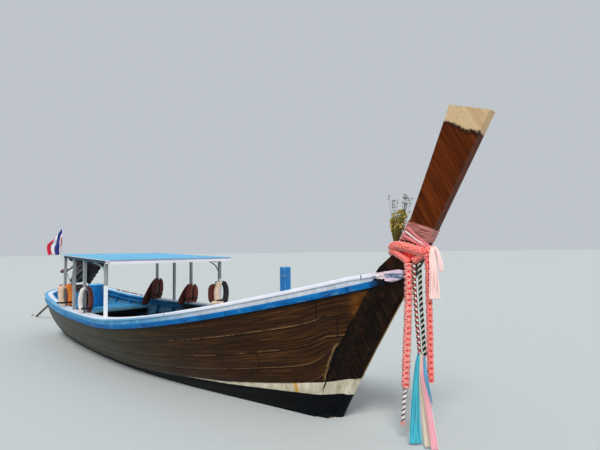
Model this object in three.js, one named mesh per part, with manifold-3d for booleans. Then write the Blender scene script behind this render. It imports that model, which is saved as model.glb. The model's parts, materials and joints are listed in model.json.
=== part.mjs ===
// A longtail boat: wooden hull with a raked stem plank, canopy on posts, and a car-type engine that swivels and
// tilts on the stern with its propeller at the end of a long tail tube.
// Millimetres, +X forward, +Y to port, +Z up; the origin is on the centreline, amidships, at the waterline.

import * as THREE from "three";
import { mergeVertices } from "three/addons/utils/BufferGeometryUtils.js";
import Module from "manifold-3d";

const wasm = await Module();
wasm.setup();

// Driving dimensions of the hull
const STERN_X = -5000; // aft tip of the gunwale cap
const TRANSOM_X = -4550; // aft face of the transom, where the planking ends
const WIDEST_X = 200;
const BOW_X = 5200; // where the two gunwale curves would meet
const HALF_BEAM = 1250;
const STERN_FULLNESS = 0.62; // half-breadth at the stern as a share of the half beam, before its rounding
const STERN_ROUND = 700;
const BOW_POWER = 1.9;
const KEEL_Z = -330; // where the planking meets the keel, amidships
const STERN_RISE = 150;
const STEM_HALF = 60;
const PLANK = 30;
const GAP = 0.4; // between flat faces that touch
const SEAT = 1.6; // between curved faces that touch, because their facets differ
const RIB_DEPTH = 45;
const RIB_WIDTH = 50;
const CAP_THICK = 45;
const CAP_WIDTH = 190;
const PLANK_SET_BACK = 20; // the planking's top edge lies this far inside the cap's outer edge
const RUB_RAIL = { below: 105, tall: 70, thick: 24 };

const lerp = (a, b, t) => a + (b - a) * t;
const clamp = (v, low, high) => Math.min(high, Math.max(low, v));
const smooth = (low, high, v) => {
  const t = clamp((v - low) / (high - low), 0, 1);
  return t * t * (3 - 2 * t);
};
const range = (count) => Array.from({ length: count }, (_, i) => i);
const steps = (from, to, count) => range(count + 1).map((i) => lerp(from, to, i / count));
// A function's straight-line reading between stations, as the facets of a loft have it
function faceted(stations, f) {
  return (x) => {
    const i = clamp(stations.findIndex((station) => station >= x) - 1, 0, stations.length - 2);
    const t = (x - stations[i]) / (stations[i + 1] - stations[i]);
    return lerp(f(stations[i]), f(stations[i + 1]), t);
  };
}

// Half-breadth of the gunwale cap's outer edge
function gunwale(x) {
  if (x > WIDEST_X) {
    const forward = (x - WIDEST_X) / (BOW_X - WIDEST_X);
    return HALF_BEAM * (1 - clamp(forward, 0, 1) ** BOW_POWER);
  }
  const aft = (WIDEST_X - x) / (WIDEST_X - STERN_X);
  const turned = clamp((STERN_ROUND - (x - STERN_X)) / STERN_ROUND, 0, 1);
  return HALF_BEAM * (1 - (1 - STERN_FULLNESS) * aft * aft) * Math.sqrt(1 - turned * turned);
}

// Height of the cap's top: level amidships, sweeping up to the stem and a little to the stern
function capTop(x) {
  const bow = clamp((x + 400) / 5440, 0, 2);
  const stern = clamp((-1200 - x) / 3430, 0, 2);
  return 880 + 925 * bow ** 1.5 + 165 * stern ** 3.2;
}

// Height of the hull's lowest plank edge: keel line, then the forefoot rising into the stem
function keelLine(x) {
  const aft = clamp(-x / -TRANSOM_X, 0, 1);
  const foot = clamp((x - 3500) / 750, 0, 1);
  return KEEL_Z + STERN_RISE * aft ** 2.2 + 280 * foot ** 4.78;
}

// The stem's front edge is a straight line raked at 61 degrees
const STEM_FOOT = { x: 4250, z: -50 };
const STEM_HEAD = { x: 6110, z: 3270 };
const STEM_SLOPE = (STEM_HEAD.z - STEM_FOOT.z) / (STEM_HEAD.x - STEM_FOOT.x);
const stemFront = (z) => STEM_FOOT.x + (z - STEM_FOOT.z) / STEM_SLOPE;

// The planks' forward ends lie on a line raked like the stem, where the solid stem timber begins
const plankEnd = (z) => 4120 + (z - 300) / 1.95;

// A point of the hull's section at x: t runs from 0 at the keel to 1 under the cap, depth inwards from the skin
function hullPoint(x, t, depth = 0) {
  const top = capTop(x) - CAP_THICK - SEAT;
  const low = keelLine(x);
  const bow = smooth(1500, 4600, x);
  const fullness = lerp(1.38, 1.3, bow);
  const rise = lerp(1.6, 1.3, bow);
  const edge = STEM_HALF + 0.6 + PLANK * lerp(0.35, 1, smooth(1800, 3400, x));
  const wide = Math.max(gunwale(x) - PLANK_SET_BACK, edge + 1);
  const at = (s) => [edge + (wide - edge) * (1 - (1 - s) ** fullness), low + (top - low) * s ** rise];
  const [y, z] = at(t);
  if (!depth) return [y, z];
  const [y0, z0] = at(Math.max(0, t - 0.01));
  const [y1, z1] = at(Math.min(1, t + 0.01));
  const length = Math.hypot(y1 - y0, z1 - z0);
  const inner = [y - (depth * (z1 - z0)) / length, z + (depth * (y1 - y0)) / length];
  return [Math.max(inner[0], STEM_HALF + 0.6), t === 1 ? z : Math.min(inner[1], top)];
}

// Half-breadth of the room inside the hull at a height, at a depth in from the skin
function roomAt(x, z, depth) {
  const line = range(25).map((i) => hullPoint(x, i / 24, depth));
  for (const i of range(24)) {
    const [y0, z0] = line[i];
    const [y1, z1] = line[i + 1];
    if (z >= z0 && z <= z1) return lerp(y0, y1, (z - z0) / (z1 - z0 || 1));
  }
  return line[24][0];
}

// Closed solids

// One closed geometry from vertices and triangles, its faces turned outwards
function closed(points, triangles) {
  const volume = triangles.reduce((sum, [a, b, c]) => {
    const [p, q, r] = [a, b, c].map((i) => new THREE.Vector3(...points[i]));
    return sum + p.dot(q.cross(r));
  }, 0);
  const faces = volume < 0 ? triangles.map(([a, b, c]) => [a, c, b]) : triangles;
  const geometry = new THREE.BufferGeometry();
  geometry.setAttribute("position", new THREE.Float32BufferAttribute(points.flat(), 3));
  geometry.setIndex(faces.flat());
  return geometry;
}

// A solid between two grids of points, grid[i][j], such as a plank's outer and inner face
function slab(outer, inner) {
  const rows = outer.length;
  const columns = outer[0].length;
  const points = [...outer.flat(), ...inner.flat()];
  const at = (layer, i, j) => layer * rows * columns + i * columns + j;
  const triangles = [];
  const quad = (a, b, c, d) => triangles.push([a, b, c], [a, c, d]);
  for (const i of range(rows - 1)) {
    for (const j of range(columns - 1)) {
      quad(at(0, i, j), at(0, i + 1, j), at(0, i + 1, j + 1), at(0, i, j + 1));
      quad(at(1, i, j), at(1, i, j + 1), at(1, i + 1, j + 1), at(1, i + 1, j));
    }
    quad(at(0, i, 0), at(1, i, 0), at(1, i + 1, 0), at(0, i + 1, 0));
    quad(at(0, i, columns - 1), at(0, i + 1, columns - 1), at(1, i + 1, columns - 1), at(1, i, columns - 1));
  }
  for (const j of range(columns - 1)) {
    quad(at(0, 0, j), at(0, 0, j + 1), at(1, 0, j + 1), at(1, 0, j));
    quad(at(0, rows - 1, j), at(1, rows - 1, j), at(1, rows - 1, j + 1), at(0, rows - 1, j + 1));
  }
  return closed(points, triangles);
}

// A solid through a list of sections, each a ring of four corners
const beam = (rings) =>
  slab(
    rings.map((ring) => [ring[0], ring[1]]),
    rings.map((ring) => [ring[3], ring[2]]),
  );

// A box between two corners
function box(low, high) {
  const size = high.map((v, i) => v - low[i]);
  const middle = high.map((v, i) => (v + low[i]) / 2);
  return new THREE.BoxGeometry(...size).translate(...middle);
}

// A round bar between two points
function bar(from, to, radius, sides = 12, endRadius = radius) {
  const a = new THREE.Vector3(...from);
  const b = new THREE.Vector3(...to);
  const along = b.clone().sub(a);
  const turn = new THREE.Quaternion().setFromUnitVectors(new THREE.Vector3(0, 1, 0), along.clone().normalize());
  const middle = a.clone().add(b).multiplyScalar(0.5);
  return new THREE.CylinderGeometry(endRadius, radius, along.length(), sides)
    .applyQuaternion(turn)
    .translate(middle.x, middle.y, middle.z);
}

// A plate from an outline in the XZ plane, thick along Y, centred on y
function plateXZ(outline, thick, y = 0) {
  const shape = new THREE.Shape(outline.map(([x, z]) => new THREE.Vector2(x, z)));
  return new THREE.ExtrudeGeometry(shape, { depth: thick, bevelEnabled: false, curveSegments: 6 })
    .rotateX(Math.PI / 2)
    .translate(0, y + thick / 2, 0);
}

// A plate from an outline in the YZ plane, thick along X from x forward
function plateYZ(outline, thick, x) {
  const shape = new THREE.Shape(outline.map(([y, z]) => new THREE.Vector2(y, z)));
  return new THREE.ExtrudeGeometry(shape, { depth: thick, bevelEnabled: false })
    .applyMatrix4(new THREE.Matrix4().makeBasis(
      new THREE.Vector3(0, 1, 0),
      new THREE.Vector3(0, 0, 1),
      new THREE.Vector3(1, 0, 0),
    ))
    .translate(x, 0, 0);
}

function solidOf(geometry) {
  const bare = geometry.clone();
  for (const name of Object.keys(bare.attributes)) {
    if (name !== "position") bare.deleteAttribute(name);
  }
  const merged = mergeVertices(bare, 1e-3);
  return new wasm.Manifold(
    new wasm.Mesh({
      numProp: 3,
      vertProperties: new Float32Array(merged.attributes.position.array),
      triVerts: new Uint32Array(merged.index.array),
    }),
  );
}

function geometryOf(solid) {
  const mesh = solid.getMesh();
  const geometry = new THREE.BufferGeometry();
  geometry.setAttribute("position", new THREE.BufferAttribute(new Float32Array(mesh.vertProperties), 3));
  geometry.setIndex(new THREE.BufferAttribute(new Uint32Array(mesh.triVerts), 1));
  return geometry;
}

const joined = (...pieces) => geometryOf(pieces.map(solidOf).reduce((sum, piece) => sum.add(piece)));
const cut = (whole, ...tools) => geometryOf(tools.map(solidOf).reduce((rest, tool) => rest.subtract(tool), solidOf(whole)));

// Materials
const paint = (color, roughness = 0.55, metalness = 0) => new THREE.MeshStandardMaterial({ color, roughness, metalness });
const look = {
  hullWood: paint(0x3b2215, 0.5),
  bottomPaint: paint(0x0a0f1c, 0.6),
  deckWood: paint(0x8a6a4a, 0.75),
  white: paint(0xe4e6e6, 0.5),
  blue: paint(0x1668ab, 0.45),
  paleBlue: paint(0x6fb4dc, 0.5),
  stemWood: paint(0x7a3c14, 0.45),
  greyPost: paint(0xa9b0b3, 0.6),
  iron: paint(0x2b2d2f, 0.6, 0.7),
  rust: paint(0x6b4630, 0.8, 0.5),
  black: paint(0x17181a, 0.7),
  steel: paint(0x8b8f92, 0.4, 0.9),
  bronze: paint(0x9a7338, 0.35, 0.9),
  drumPlastic: paint(0x1f6fb5, 0.4),
  cream: paint(0xe8d9bb, 0.9),
  orange: paint(0xd9642a, 0.85),
  brownRed: paint(0x6b332a, 0.85),
  coral: paint(0xe0544f, 0.95),
  palePink: paint(0xefa9ab, 0.8),
  turquoise: paint(0x35a6c4, 0.8),
  cordWhite: paint(0xcfcfc8, 0.9),
  straw: paint(0x7d7038, 0.95),
  darkCloth: paint(0x20242b, 0.9),
  flagRed: paint(0xb21f33, 0.8),
};

const boat = new THREE.Group();
function put(name, geometry, material, parent = boat) {
  const mesh = new THREE.Mesh(geometry, material);
  mesh.name = name;
  parent.add(mesh);
  return mesh;
}
const SIDES = [
  ["port", 1],
  ["starboard", -1],
];

// Hull planking: t lines run from the transom to the plank ends

// Where the line of constant t meets the raked plank ends
function planksReach(t) {
  let low = 3000;
  let high = 5000;
  for (const _ of range(40)) {
    const x = (low + high) / 2;
    if (x < plankEnd(hullPoint(x, t)[1])) low = x;
    else high = x;
  }
  return low;
}
const PLANK_STATIONS = steps(0, 1, 26);
const BILGE_T = 0.42;
const SEAM_LINES = [...steps(0, BILGE_T, 4), ...steps(BILGE_T, 1, 7).slice(1)];

function planking(side, tLow, tHigh, count) {
  const face = (depth) =>
    PLANK_STATIONS.map((u) =>
      steps(tLow, tHigh, count).map((t) => {
        const x = lerp(TRANSOM_X, planksReach(t), u);
        const [y, z] = hullPoint(x, t, depth);
        return [x, side * y, z];
      }),
    );
  return slab(face(0), face(PLANK));
}
for (const [name, side] of SIDES) {
  put(`bottom_planking_${name}`, planking(side, 0, BILGE_T, 4), look.bottomPaint);
  put(`side_planking_${name}`, planking(side, BILGE_T + 0.0004, 1, 7), look.hullWood);
}

// Gunwale cap and rub rail follow the cap's outer edge round the stern
const CAP_END_X = 5040;
const RUB_END_X = 4940;
function gunwaleStations(front) {
  const turn = steps(0, Math.PI / 2, 12).map((a) => STERN_X + STERN_ROUND * (1 - Math.cos(a)));
  const middle = steps(STERN_X + STERN_ROUND, 3800, 20).slice(1);
  return [...turn, ...middle, ...steps(3800, front, 9).slice(1)];
}
// A point set in from the cap's outer edge, square to it in plan
function inFromEdge(x, inset) {
  if (x <= STERN_X + 1) return [STERN_X + inset, 0];
  const h = 2;
  const slope = (gunwale(x + h) - gunwale(x - h)) / (2 * h);
  const length = Math.hypot(1, slope);
  return [x + (slope * inset) / length, gunwale(x) - inset / length];
}
// How far in from the cap's edge the planking's skin lies, at a drop below the cap's top
function skinInset(x, drop) {
  const at = Math.max(x, TRANSOM_X);
  const h = 2;
  const slope = (gunwale(at + h) - gunwale(at - h)) / (2 * h);
  return (gunwale(at) - roomAt(at, capTop(at) - drop, 0)) / Math.hypot(1, slope);
}
// A strip along the gunwale: drops and insets of its top and bottom edges, outer and inner
function edgeStrip(side, front, topDrop, bottomDrop, insetOf) {
  const corner = (x, drop, face) => {
    const [px, py] = inFromEdge(x, insetOf(x, drop, face));
    const y = Math.max(py, px > 3000 ? STEM_HALF + 0.7 : GAP / 2);
    return [px, side * y, capTop(px) - drop];
  };
  return beam(
    gunwaleStations(front).map((x) => [
      corner(x, topDrop, 0),
      corner(x, topDrop, 1),
      corner(x, bottomDrop, 1),
      corner(x, bottomDrop, 0),
    ]),
  );
}
for (const [name, side] of SIDES) {
  const capInset = (x, drop, face) => face * CAP_WIDTH;
  const rubInset = (x, drop, face) => skinInset(x, drop) - (face ? 0.8 : RUB_RAIL.thick) - 12 * smooth(4600, 4900, x);
  put(`gunwale_cap_${name}`, edgeStrip(side, CAP_END_X, 0, CAP_THICK, capInset), look.white);
  put(
    `rub_rail_${name}`,
    edgeStrip(side, RUB_END_X, RUB_RAIL.below, RUB_RAIL.below + RUB_RAIL.tall, rubInset),
    look.blue,
  );
}

// Keel, stem and stern timbers
const KEEL_DEPTH = 90;
const KEEL_FRONT = 3400;
const HEEL_Z = -420;
// Below the cloth the stem's front is hewn back to a narrow edge; each pair is a height and how far back it lies
const CUTWATER = {
  half: 13,
  deep: 40,
  backs: [
    [-50, 60],
    [200, 60],
    [480, 54],
    [880, 40],
    [1080, 26],
    [1260, 16],
    [1440, 2],
  ],
};
const FOOT_X = STEM_FOOT.x - CUTWATER.backs[0][1] - CUTWATER.deep;
function stemEdge(z) {
  if (z > 1440) return stemFront(z);
  if (z > STEM_FOOT.z) return stemFront(z) - CUTWATER.deep - faceted(...cutwaterLine())(z);
  const rise = clamp((z - HEEL_Z) / (STEM_FOOT.z - HEEL_Z), 0, 1);
  return KEEL_FRONT + (FOOT_X - KEEL_FRONT) * rise ** (1 / 4.1);
}
function cutwaterLine() {
  const heights = CUTWATER.backs.map(([z]) => z);
  return [heights, (z) => CUTWATER.backs.find(([height]) => height === z)[1]];
}
put(
  "keel",
  beam(
    steps(TRANSOM_X - 90, KEEL_FRONT - GAP, 18).map((x) => {
      const top = keelLine(x) + 22;
      const low = x > 3000 ? lerp(KEEL_Z - KEEL_DEPTH, HEEL_Z, (x - 3000) / 400) : keelLine(x) - KEEL_DEPTH;
      return [
        [x, STEM_HALF, top],
        [x, STEM_HALF, low],
        [x, -STEM_HALF, low],
        [x, -STEM_HALF, top],
      ];
    }),
  ),
  look.bottomPaint,
);

const FOREFOOT = steps(0, 1, 8).map((s) => [
  KEEL_FRONT + (FOOT_X - KEEL_FRONT) * s,
  HEEL_Z + (STEM_FOOT.z - HEEL_Z) * s ** 4.1,
]);
const STEM_BACK = [
  [5710, 3410], // head, cut square to the rake
  [5470, 2840],
  [5240, 2310],
  [5105, 2080],
  [4980, 1910],
  [4830, 1795], // knee, where it meets the cap
  [4700, 1640],
  [4330, 1000],
  [3960, 260],
  [3700, -150],
  [3400, -290],
];
// The stem widens aft into a solid wedge that carries the plank ends
const wedge = beam(
  steps(0, 1, 11).map((t) => {
    const xa = planksReach(t) + GAP * 2;
    const [ya, za] = hullPoint(planksReach(t), t);
    let xb = xa + 200;
    let zb = za;
    for (const _ of range(6)) {
      zb = za + (xb - xa) * 0.25 * t;
      xb = Math.max(xa + 30, stemEdge(zb) - 40 - 150 * clamp(zb / 1750, 0, 1));
    }
    return [
      [xa, ya, za],
      [xb, STEM_HALF - 0.5, zb],
      [xb, -STEM_HALF + 0.5, zb],
      [xa, -ya, za],
    ];
  }),
);
const hewnLine = CUTWATER.backs.slice(1).map(([z, back]) => [stemFront(z) - back - CUTWATER.deep, z]);
const stemPlate = plateXZ(
  [...FOREFOOT, ...hewnLine, [stemFront(1580), 1580], [STEM_HEAD.x, STEM_HEAD.z], ...STEM_BACK],
  2 * STEM_HALF,
);
const cutwater = beam(
  [...CUTWATER.backs, [1600, 12]].map(([z, back]) => [
    [stemFront(z) - back - CUTWATER.deep - 6, STEM_HALF - 0.5, z],
    [stemFront(z) - back, CUTWATER.half, z],
    [stemFront(z) - back, -CUTWATER.half, z],
    [stemFront(z) - back - CUTWATER.deep - 6, 0.5 - STEM_HALF, z],
  ]),
);
put("stem_post", joined(stemPlate, wedge, cutwater), look.stemWood);

const TRANSOM_THICK = 40;
const PLATFORM_TOP = capTop(TRANSOM_X) - CAP_THICK - SEAT;
const PLATFORM_THICK = 32;
function transom() {
  const x = TRANSOM_X;
  const top = capTop(x + TRANSOM_THICK) - CAP_THICK - SEAT;
  const half = SEAM_LINES.map((t) => hullPoint(x, t, PLANK + SEAT));
  const kept = half.filter(([, z]) => z < top - 5);
  const rim = [...kept, [roomAt(x, top - 6, PLANK + SEAT), top]];
  return plateYZ([...rim, ...rim.map(([y, z]) => [-y, z]).reverse()], TRANSOM_THICK, x);
}
put("transom", transom(), look.paleBlue);
put(
  "stern_post",
  box([TRANSOM_X - 90, -45, keelLine(TRANSOM_X) + 23], [TRANSOM_X - GAP, 45, PLATFORM_TOP - PLATFORM_THICK - GAP]),
  look.hullWood,
);
// The platform under the overhanging stern, inside the rub rail
function platform() {
  const stations = steps(0, 1, 8).map((s) => {
    const limit = TRANSOM_X - GAP;
    const angle = s * Math.acos(1 - (limit - STERN_X) / STERN_ROUND);
    return STERN_X + STERN_ROUND * (1 - Math.cos(angle));
  });
  const rows = stations.map((x) => {
    const [px, py] = inFromEdge(x, 60);
    return [Math.min(px, TRANSOM_X - GAP), Math.max(py, 30)];
  });
  const layer = (z) => rows.map(([x, y]) => [[x, y, z], [x, 0, z], [x, -y, z]]);
  return slab(layer(PLATFORM_TOP), layer(PLATFORM_TOP - PLATFORM_THICK));
}
put("stern_platform", platform(), look.paleBlue);

// Frames: ribs, the keelson over them and the two shelves under the cap, in one piece
const RIBS = steps(-4200, 3204, 12);
const RIB_LINES = [...steps(0, BILGE_T, 3), ...steps(BILGE_T, 1, 4).slice(1)];
const RIB_OUT = PLANK + 6;
const INSIDE_RIBS = RIB_OUT + RIB_DEPTH;
const SHELF = { below: 62, tall: 90, thick: 28 };
const KEELSON = { half: 50, low: 60, top: 140 };

function rib(x) {
  const set = 5 * smooth(2300, 3200, x);
  const face = (depth) =>
    [x - RIB_WIDTH / 2, x + RIB_WIDTH / 2].map((station) => {
      const half = RIB_LINES.map((t) => hullPoint(station, t, depth));
      const port = half.map(([y, z]) => [station, y, z]).reverse();
      return [...port, ...half.map(([y, z]) => [station, -y, z])];
    });
  return slab(face(RIB_OUT + set), face(INSIDE_RIBS));
}
function shelf(side) {
  const outer = INSIDE_RIBS - 6;
  return beam(
    steps(TRANSOM_X + TRANSOM_THICK + 1, 4200, 12).map((x) => {
      const high = capTop(x) - SHELF.below;
      const low = high - SHELF.tall;
      const y = (z, depth) => side * Math.max(roomAt(x, z, depth), STEM_HALF + 1);
      return [
        [x, y(high, outer), high],
        [x, y(high, outer + SHELF.thick), high],
        [x, y(low, outer + SHELF.thick), low],
        [x, y(low, outer), low],
      ];
    }),
  );
}
const KEELSON_STATIONS = steps(TRANSOM_X + TRANSOM_THICK + 1, 3290, 12);
const keelsonTop = faceted(KEELSON_STATIONS, (x) => keelLine(x) + KEELSON.top);
const keelson = beam(
  KEELSON_STATIONS.map((x) => {
    const { half, low, top } = KEELSON;
    const z = keelLine(x);
    return [
      [x, half, z + top],
      [x, half, z + low],
      [x, -half, z + low],
      [x, -half, z + top],
    ];
  }),
);
put("frames", joined(keelson, ...RIBS.map(rib), shelf(1), shelf(-1)), look.hullWood);

// Decks and floors reach from side to side, inside the ribs
function deck(stations, topOf, thick, halfOf) {
  const layer = (drop) =>
    stations.map((x) => {
      const half = halfOf(x, topOf(x) - thick);
      return [
        [x, half, topOf(x) - drop],
        [x, -half, topOf(x) - drop],
      ];
    });
  return slab(layer(0), layer(thick));
}
const insideRibs = (x, z) => roomAt(x, z, INSIDE_RIBS + 4);

const FLOOR = { aft: -2700, front: 2340, top: 63, thick: 24 };
put("floor_boards", deck(steps(FLOOR.aft, FLOOR.front, 12), () => FLOOR.top, FLOOR.thick, insideRibs), look.deckWood);

const AFT_DECK = { aft: TRANSOM_X + TRANSOM_THICK + GAP, front: -2750, top: 690, thick: 28 };
put("aft_deck", deck(steps(AFT_DECK.aft, AFT_DECK.front, 7), () => AFT_DECK.top, AFT_DECK.thick, insideRibs), look.paleBlue);
const AFT_BEAM = { thick: 40, tall: 130 };
const beamFront = AFT_DECK.front + AFT_BEAM.thick;
put(
  "aft_deck_beam",
  deck([AFT_DECK.front + GAP, beamFront], () => AFT_DECK.top, AFT_BEAM.tall, insideRibs),
  look.paleBlue,
);

// The foredeck lies between the caps, a little below their top
const FOREDECK = { aft: 2350, front: 4730, below: 18, thick: 28 };
const FOREDECK_STATIONS = steps(FOREDECK.aft, FOREDECK.front, 12);
const foredeckTop = faceted(FOREDECK_STATIONS, (x) => capTop(x) - FOREDECK.below);
function besideCap(x) {
  let edge = x;
  for (const _ of range(8)) edge -= inFromEdge(edge, CAP_WIDTH)[0] - x;
  return Math.max(inFromEdge(edge, CAP_WIDTH)[1] - 4 - 30 * smooth(4300, 4700, x), STEM_HALF - 2);
}
put("foredeck", deck(FOREDECK_STATIONS, foredeckTop, FOREDECK.thick, besideCap), look.white);

function bulkhead() {
  const x = FOREDECK.aft + 20;
  const depth = INSIDE_RIBS + SHELF.thick + 14;
  const low = Math.max(keelsonTop(x), keelsonTop(x + 24)) + GAP;
  const top = foredeckTop(x) - FOREDECK.thick - GAP;
  const half = SEAM_LINES.map((t) => hullPoint(x, t, depth)).filter(([, z]) => z > low + 10 && z < top - 10);
  const rim = [[roomAt(x, low, depth), low], ...half, [roomAt(x, top, depth), top]];
  return plateYZ([...rim, ...rim.map(([y, z]) => [-y, z]).reverse()], 24, x);
}
put("foredeck_bulkhead", bulkhead(), look.paleBlue);

// Each bench runs from the ribs inboard to legs that stand on the floor's edge
const BENCH = { aft: -2300, front: 150, top: 430, thick: 26, legs: [-2040, -1420, -190], leg: 34 };
const floorHalf = (x) => insideRibs(x, FLOOR.top - FLOOR.thick);
function bench(side) {
  const seat = beam(
    steps(BENCH.aft, BENCH.front, 6).map((x) => {
      const low = BENCH.top - BENCH.thick;
      const outer = roomAt(x, low, INSIDE_RIBS + 0.95);
      const inner = floorHalf(x) - 70;
      return [
        [x, side * outer, BENCH.top],
        [x, side * inner, BENCH.top],
        [x, side * inner, low],
        [x, side * outer, low],
      ];
    }),
  );
  const legs = BENCH.legs.map((x) => {
    const inner = floorHalf(x - 90) - 14 - BENCH.leg;
    const [a, b] = [side * inner, side * (inner + BENCH.leg)].sort((p, q) => p - q);
    return box([x - 90, a, FLOOR.top + GAP], [x + 90, b, BENCH.top - 5]);
  });
  return joined(seat, ...legs);
}
for (const [name, side] of SIDES) put(`side_bench_${name}`, bench(side), look.deckWood);

const BITT = { x: 3230, half: 52, top: 1765 };
const bittFoot = (x) => foredeckTop(x) + GAP;
put(
  "mooring_bitt",
  plateXZ(
    [
      [BITT.x - BITT.half, bittFoot(BITT.x - BITT.half)],
      [BITT.x + BITT.half, bittFoot(BITT.x + BITT.half)],
      [BITT.x + BITT.half, BITT.top - 12],
      [BITT.x + BITT.half - 12, BITT.top],
      [BITT.x - BITT.half + 12, BITT.top],
      [BITT.x - BITT.half, BITT.top - 12],
    ],
    2 * BITT.half,
  ),
  look.blue,
);

// Canopy: four posts a side on the cap, side beams, cross beams and a flat panel that slopes a little forward
const POSTS = [
  { x: 6, half: 25 },
  { x: -1047, half: 25 },
  { x: -1713, half: 25 },
  { x: -2426, half: 25 },
];
const ROOF = { aft: -2455, front: 320, aftHalf: 1085, frontHalf: 1205, aftTop: 1964, frontTop: 1866, thick: 25 };
const roofTop = (x) => lerp(ROOF.aftTop, ROOF.frontTop, (x - ROOF.aft) / (ROOF.front - ROOF.aft));
const roofHalf = (x) => lerp(ROOF.aftHalf, ROOF.frontHalf, (x - ROOF.aft) / (ROOF.front - ROOF.aft));
const BEAM = { tall: 50, wide: 50 };
const beamTop = (x) => roofTop(x) - ROOF.thick - GAP;
const postY = (x) => gunwale(x) - 100;

function canopySide(side) {
  const top = beam(
    [ROOF.aft + 4, -1713, -1047, 6, ROOF.front - 34].map((x) => [
      [x, side * (postY(x) + BEAM.wide / 2), beamTop(x)],
      [x, side * (postY(x) - BEAM.wide / 2), beamTop(x)],
      [x, side * (postY(x) - BEAM.wide / 2), beamTop(x) - BEAM.tall],
      [x, side * (postY(x) + BEAM.wide / 2), beamTop(x) - BEAM.tall],
    ]),
  );
  const posts = POSTS.map(({ x, half }) => {
    const y = side * postY(x);
    const foot = Math.max(capTop(x - half), capTop(x + half)) + 2.1;
    return box([x - half, y - half, foot], [x + half, y + half, beamTop(x) - BEAM.tall / 2]);
  });
  return joined(top, ...posts);
}
for (const [name, side] of SIDES) put(`canopy_side_${name}`, canopySide(side), look.greyPost);

const crossBeams = POSTS.map(({ x, half }) => {
  const aft = Math.min(postY(x - 20), postY(x)) - half - GAP;
  const front = Math.min(postY(x + 20), postY(x)) - half - GAP;
  const ring = (side) => [
    [x - 20, side * aft, beamTop(x - 20)],
    [x + 20, side * front, beamTop(x + 20)],
    [x + 20, side * front, beamTop(x + 20) - BEAM.tall],
    [x - 20, side * aft, beamTop(x - 20) - BEAM.tall],
  ];
  return beam([ring(-1), ring(1)]);
});
const stringers = [-380, 380].map((y) =>
  beam(
    [ROOF.aft + 6, ROOF.front - 34].map((x) => [
      [x, y + 18, beamTop(x)],
      [x, y - 18, beamTop(x)],
      [x, y - 18, beamTop(x) - 32],
      [x, y + 18, beamTop(x) - 32],
    ]),
  ),
);
put("roof_beams", joined(...crossBeams, ...stringers), look.white);
put("roof_panel", deck([ROOF.aft, ROOF.front], roofTop, ROOF.thick, roofHalf), look.paleBlue);
const FASCIA = { thick: 28, tall: 50 };
put(
  "roof_fascia",
  box(
    [ROOF.front - FASCIA.thick, -ROOF.frontHalf + 6, beamTop(ROOF.front) - FASCIA.tall],
    [ROOF.front - 1, ROOF.frontHalf - 6, beamTop(ROOF.front) - GAP],
  ),
  look.white,
);

// Curtain rolled up under the starboard beam, and its loose end hanging from the roll
const ROLL = { aft: -2400, front: 100, radius: 40 };
const rollAt = (x) => [x, -(postY(x) - 25 - ROLL.radius - 28), beamTop(x) - BEAM.tall - ROLL.radius - GAP];
const curtainEnd = [
  [-1270, 1775],
  [-1240, 1590],
  [-1130, 1430],
  [-1050, 1400],
  [-960, 1440],
  [-700, 1600],
  [-480, 1760],
];
put(
  "curtain",
  joined(bar(rollAt(ROLL.aft), rollAt(ROLL.front), ROLL.radius, 10), plateXZ(curtainEnd, 70, rollAt(-900)[1])),
  look.darkCloth,
);

// Flag on a staff at the roof's starboard aft corner, hanging in folds
const STAFF = { x: -2440, y: -roofHalf(-2440) - 8.8, low: 1850, top: 2560, radius: 8 };
put("flag_staff", bar([STAFF.x, STAFF.y, STAFF.low], [STAFF.x, STAFF.y, STAFF.top], STAFF.radius, 10), look.white);
put(
  "flag",
  plateYZ(
    [
      [STAFF.y - 8.4, 2500],
      [STAFF.y - 70, 2440],
      [STAFF.y - 165, 2250],
      [STAFF.y - 175, 1960],
      [STAFF.y - 60, 1935],
      [STAFF.y - 8.4, 1990],
    ],
    34,
    STAFF.x - 17,
  ),
  look.flagRed,
);

// Plastic fuel drum on the aft deck
const DRUM = { x: -3675, y: 60, radius: 185, low: AFT_DECK.top + GAP, high: 1240 };
const drumProfile = [
  [0, 0],
  [0.9, 0],
  [0.98, 0.04],
  [0.98, 0.3],
  [1, 0.33],
  [0.98, 0.36],
  [0.98, 0.66],
  [1, 0.69],
  [0.98, 0.72],
  [0.98, 0.92],
  [0.88, 0.97],
  [0, 0.97],
];
const drumBody = new THREE.LatheGeometry(
  drumProfile.map(([r, h]) => new THREE.Vector2(r * DRUM.radius, h * (DRUM.high - DRUM.low))),
  20,
)
  .rotateX(Math.PI / 2)
  .translate(DRUM.x, DRUM.y, DRUM.low);
const drumCap = bar([DRUM.x + 90, DRUM.y, DRUM.high - 25], [DRUM.x + 90, DRUM.y, DRUM.high], 34, 12);
put("fuel_drum", joined(drumBody, drumCap), look.drumPlastic);

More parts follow.
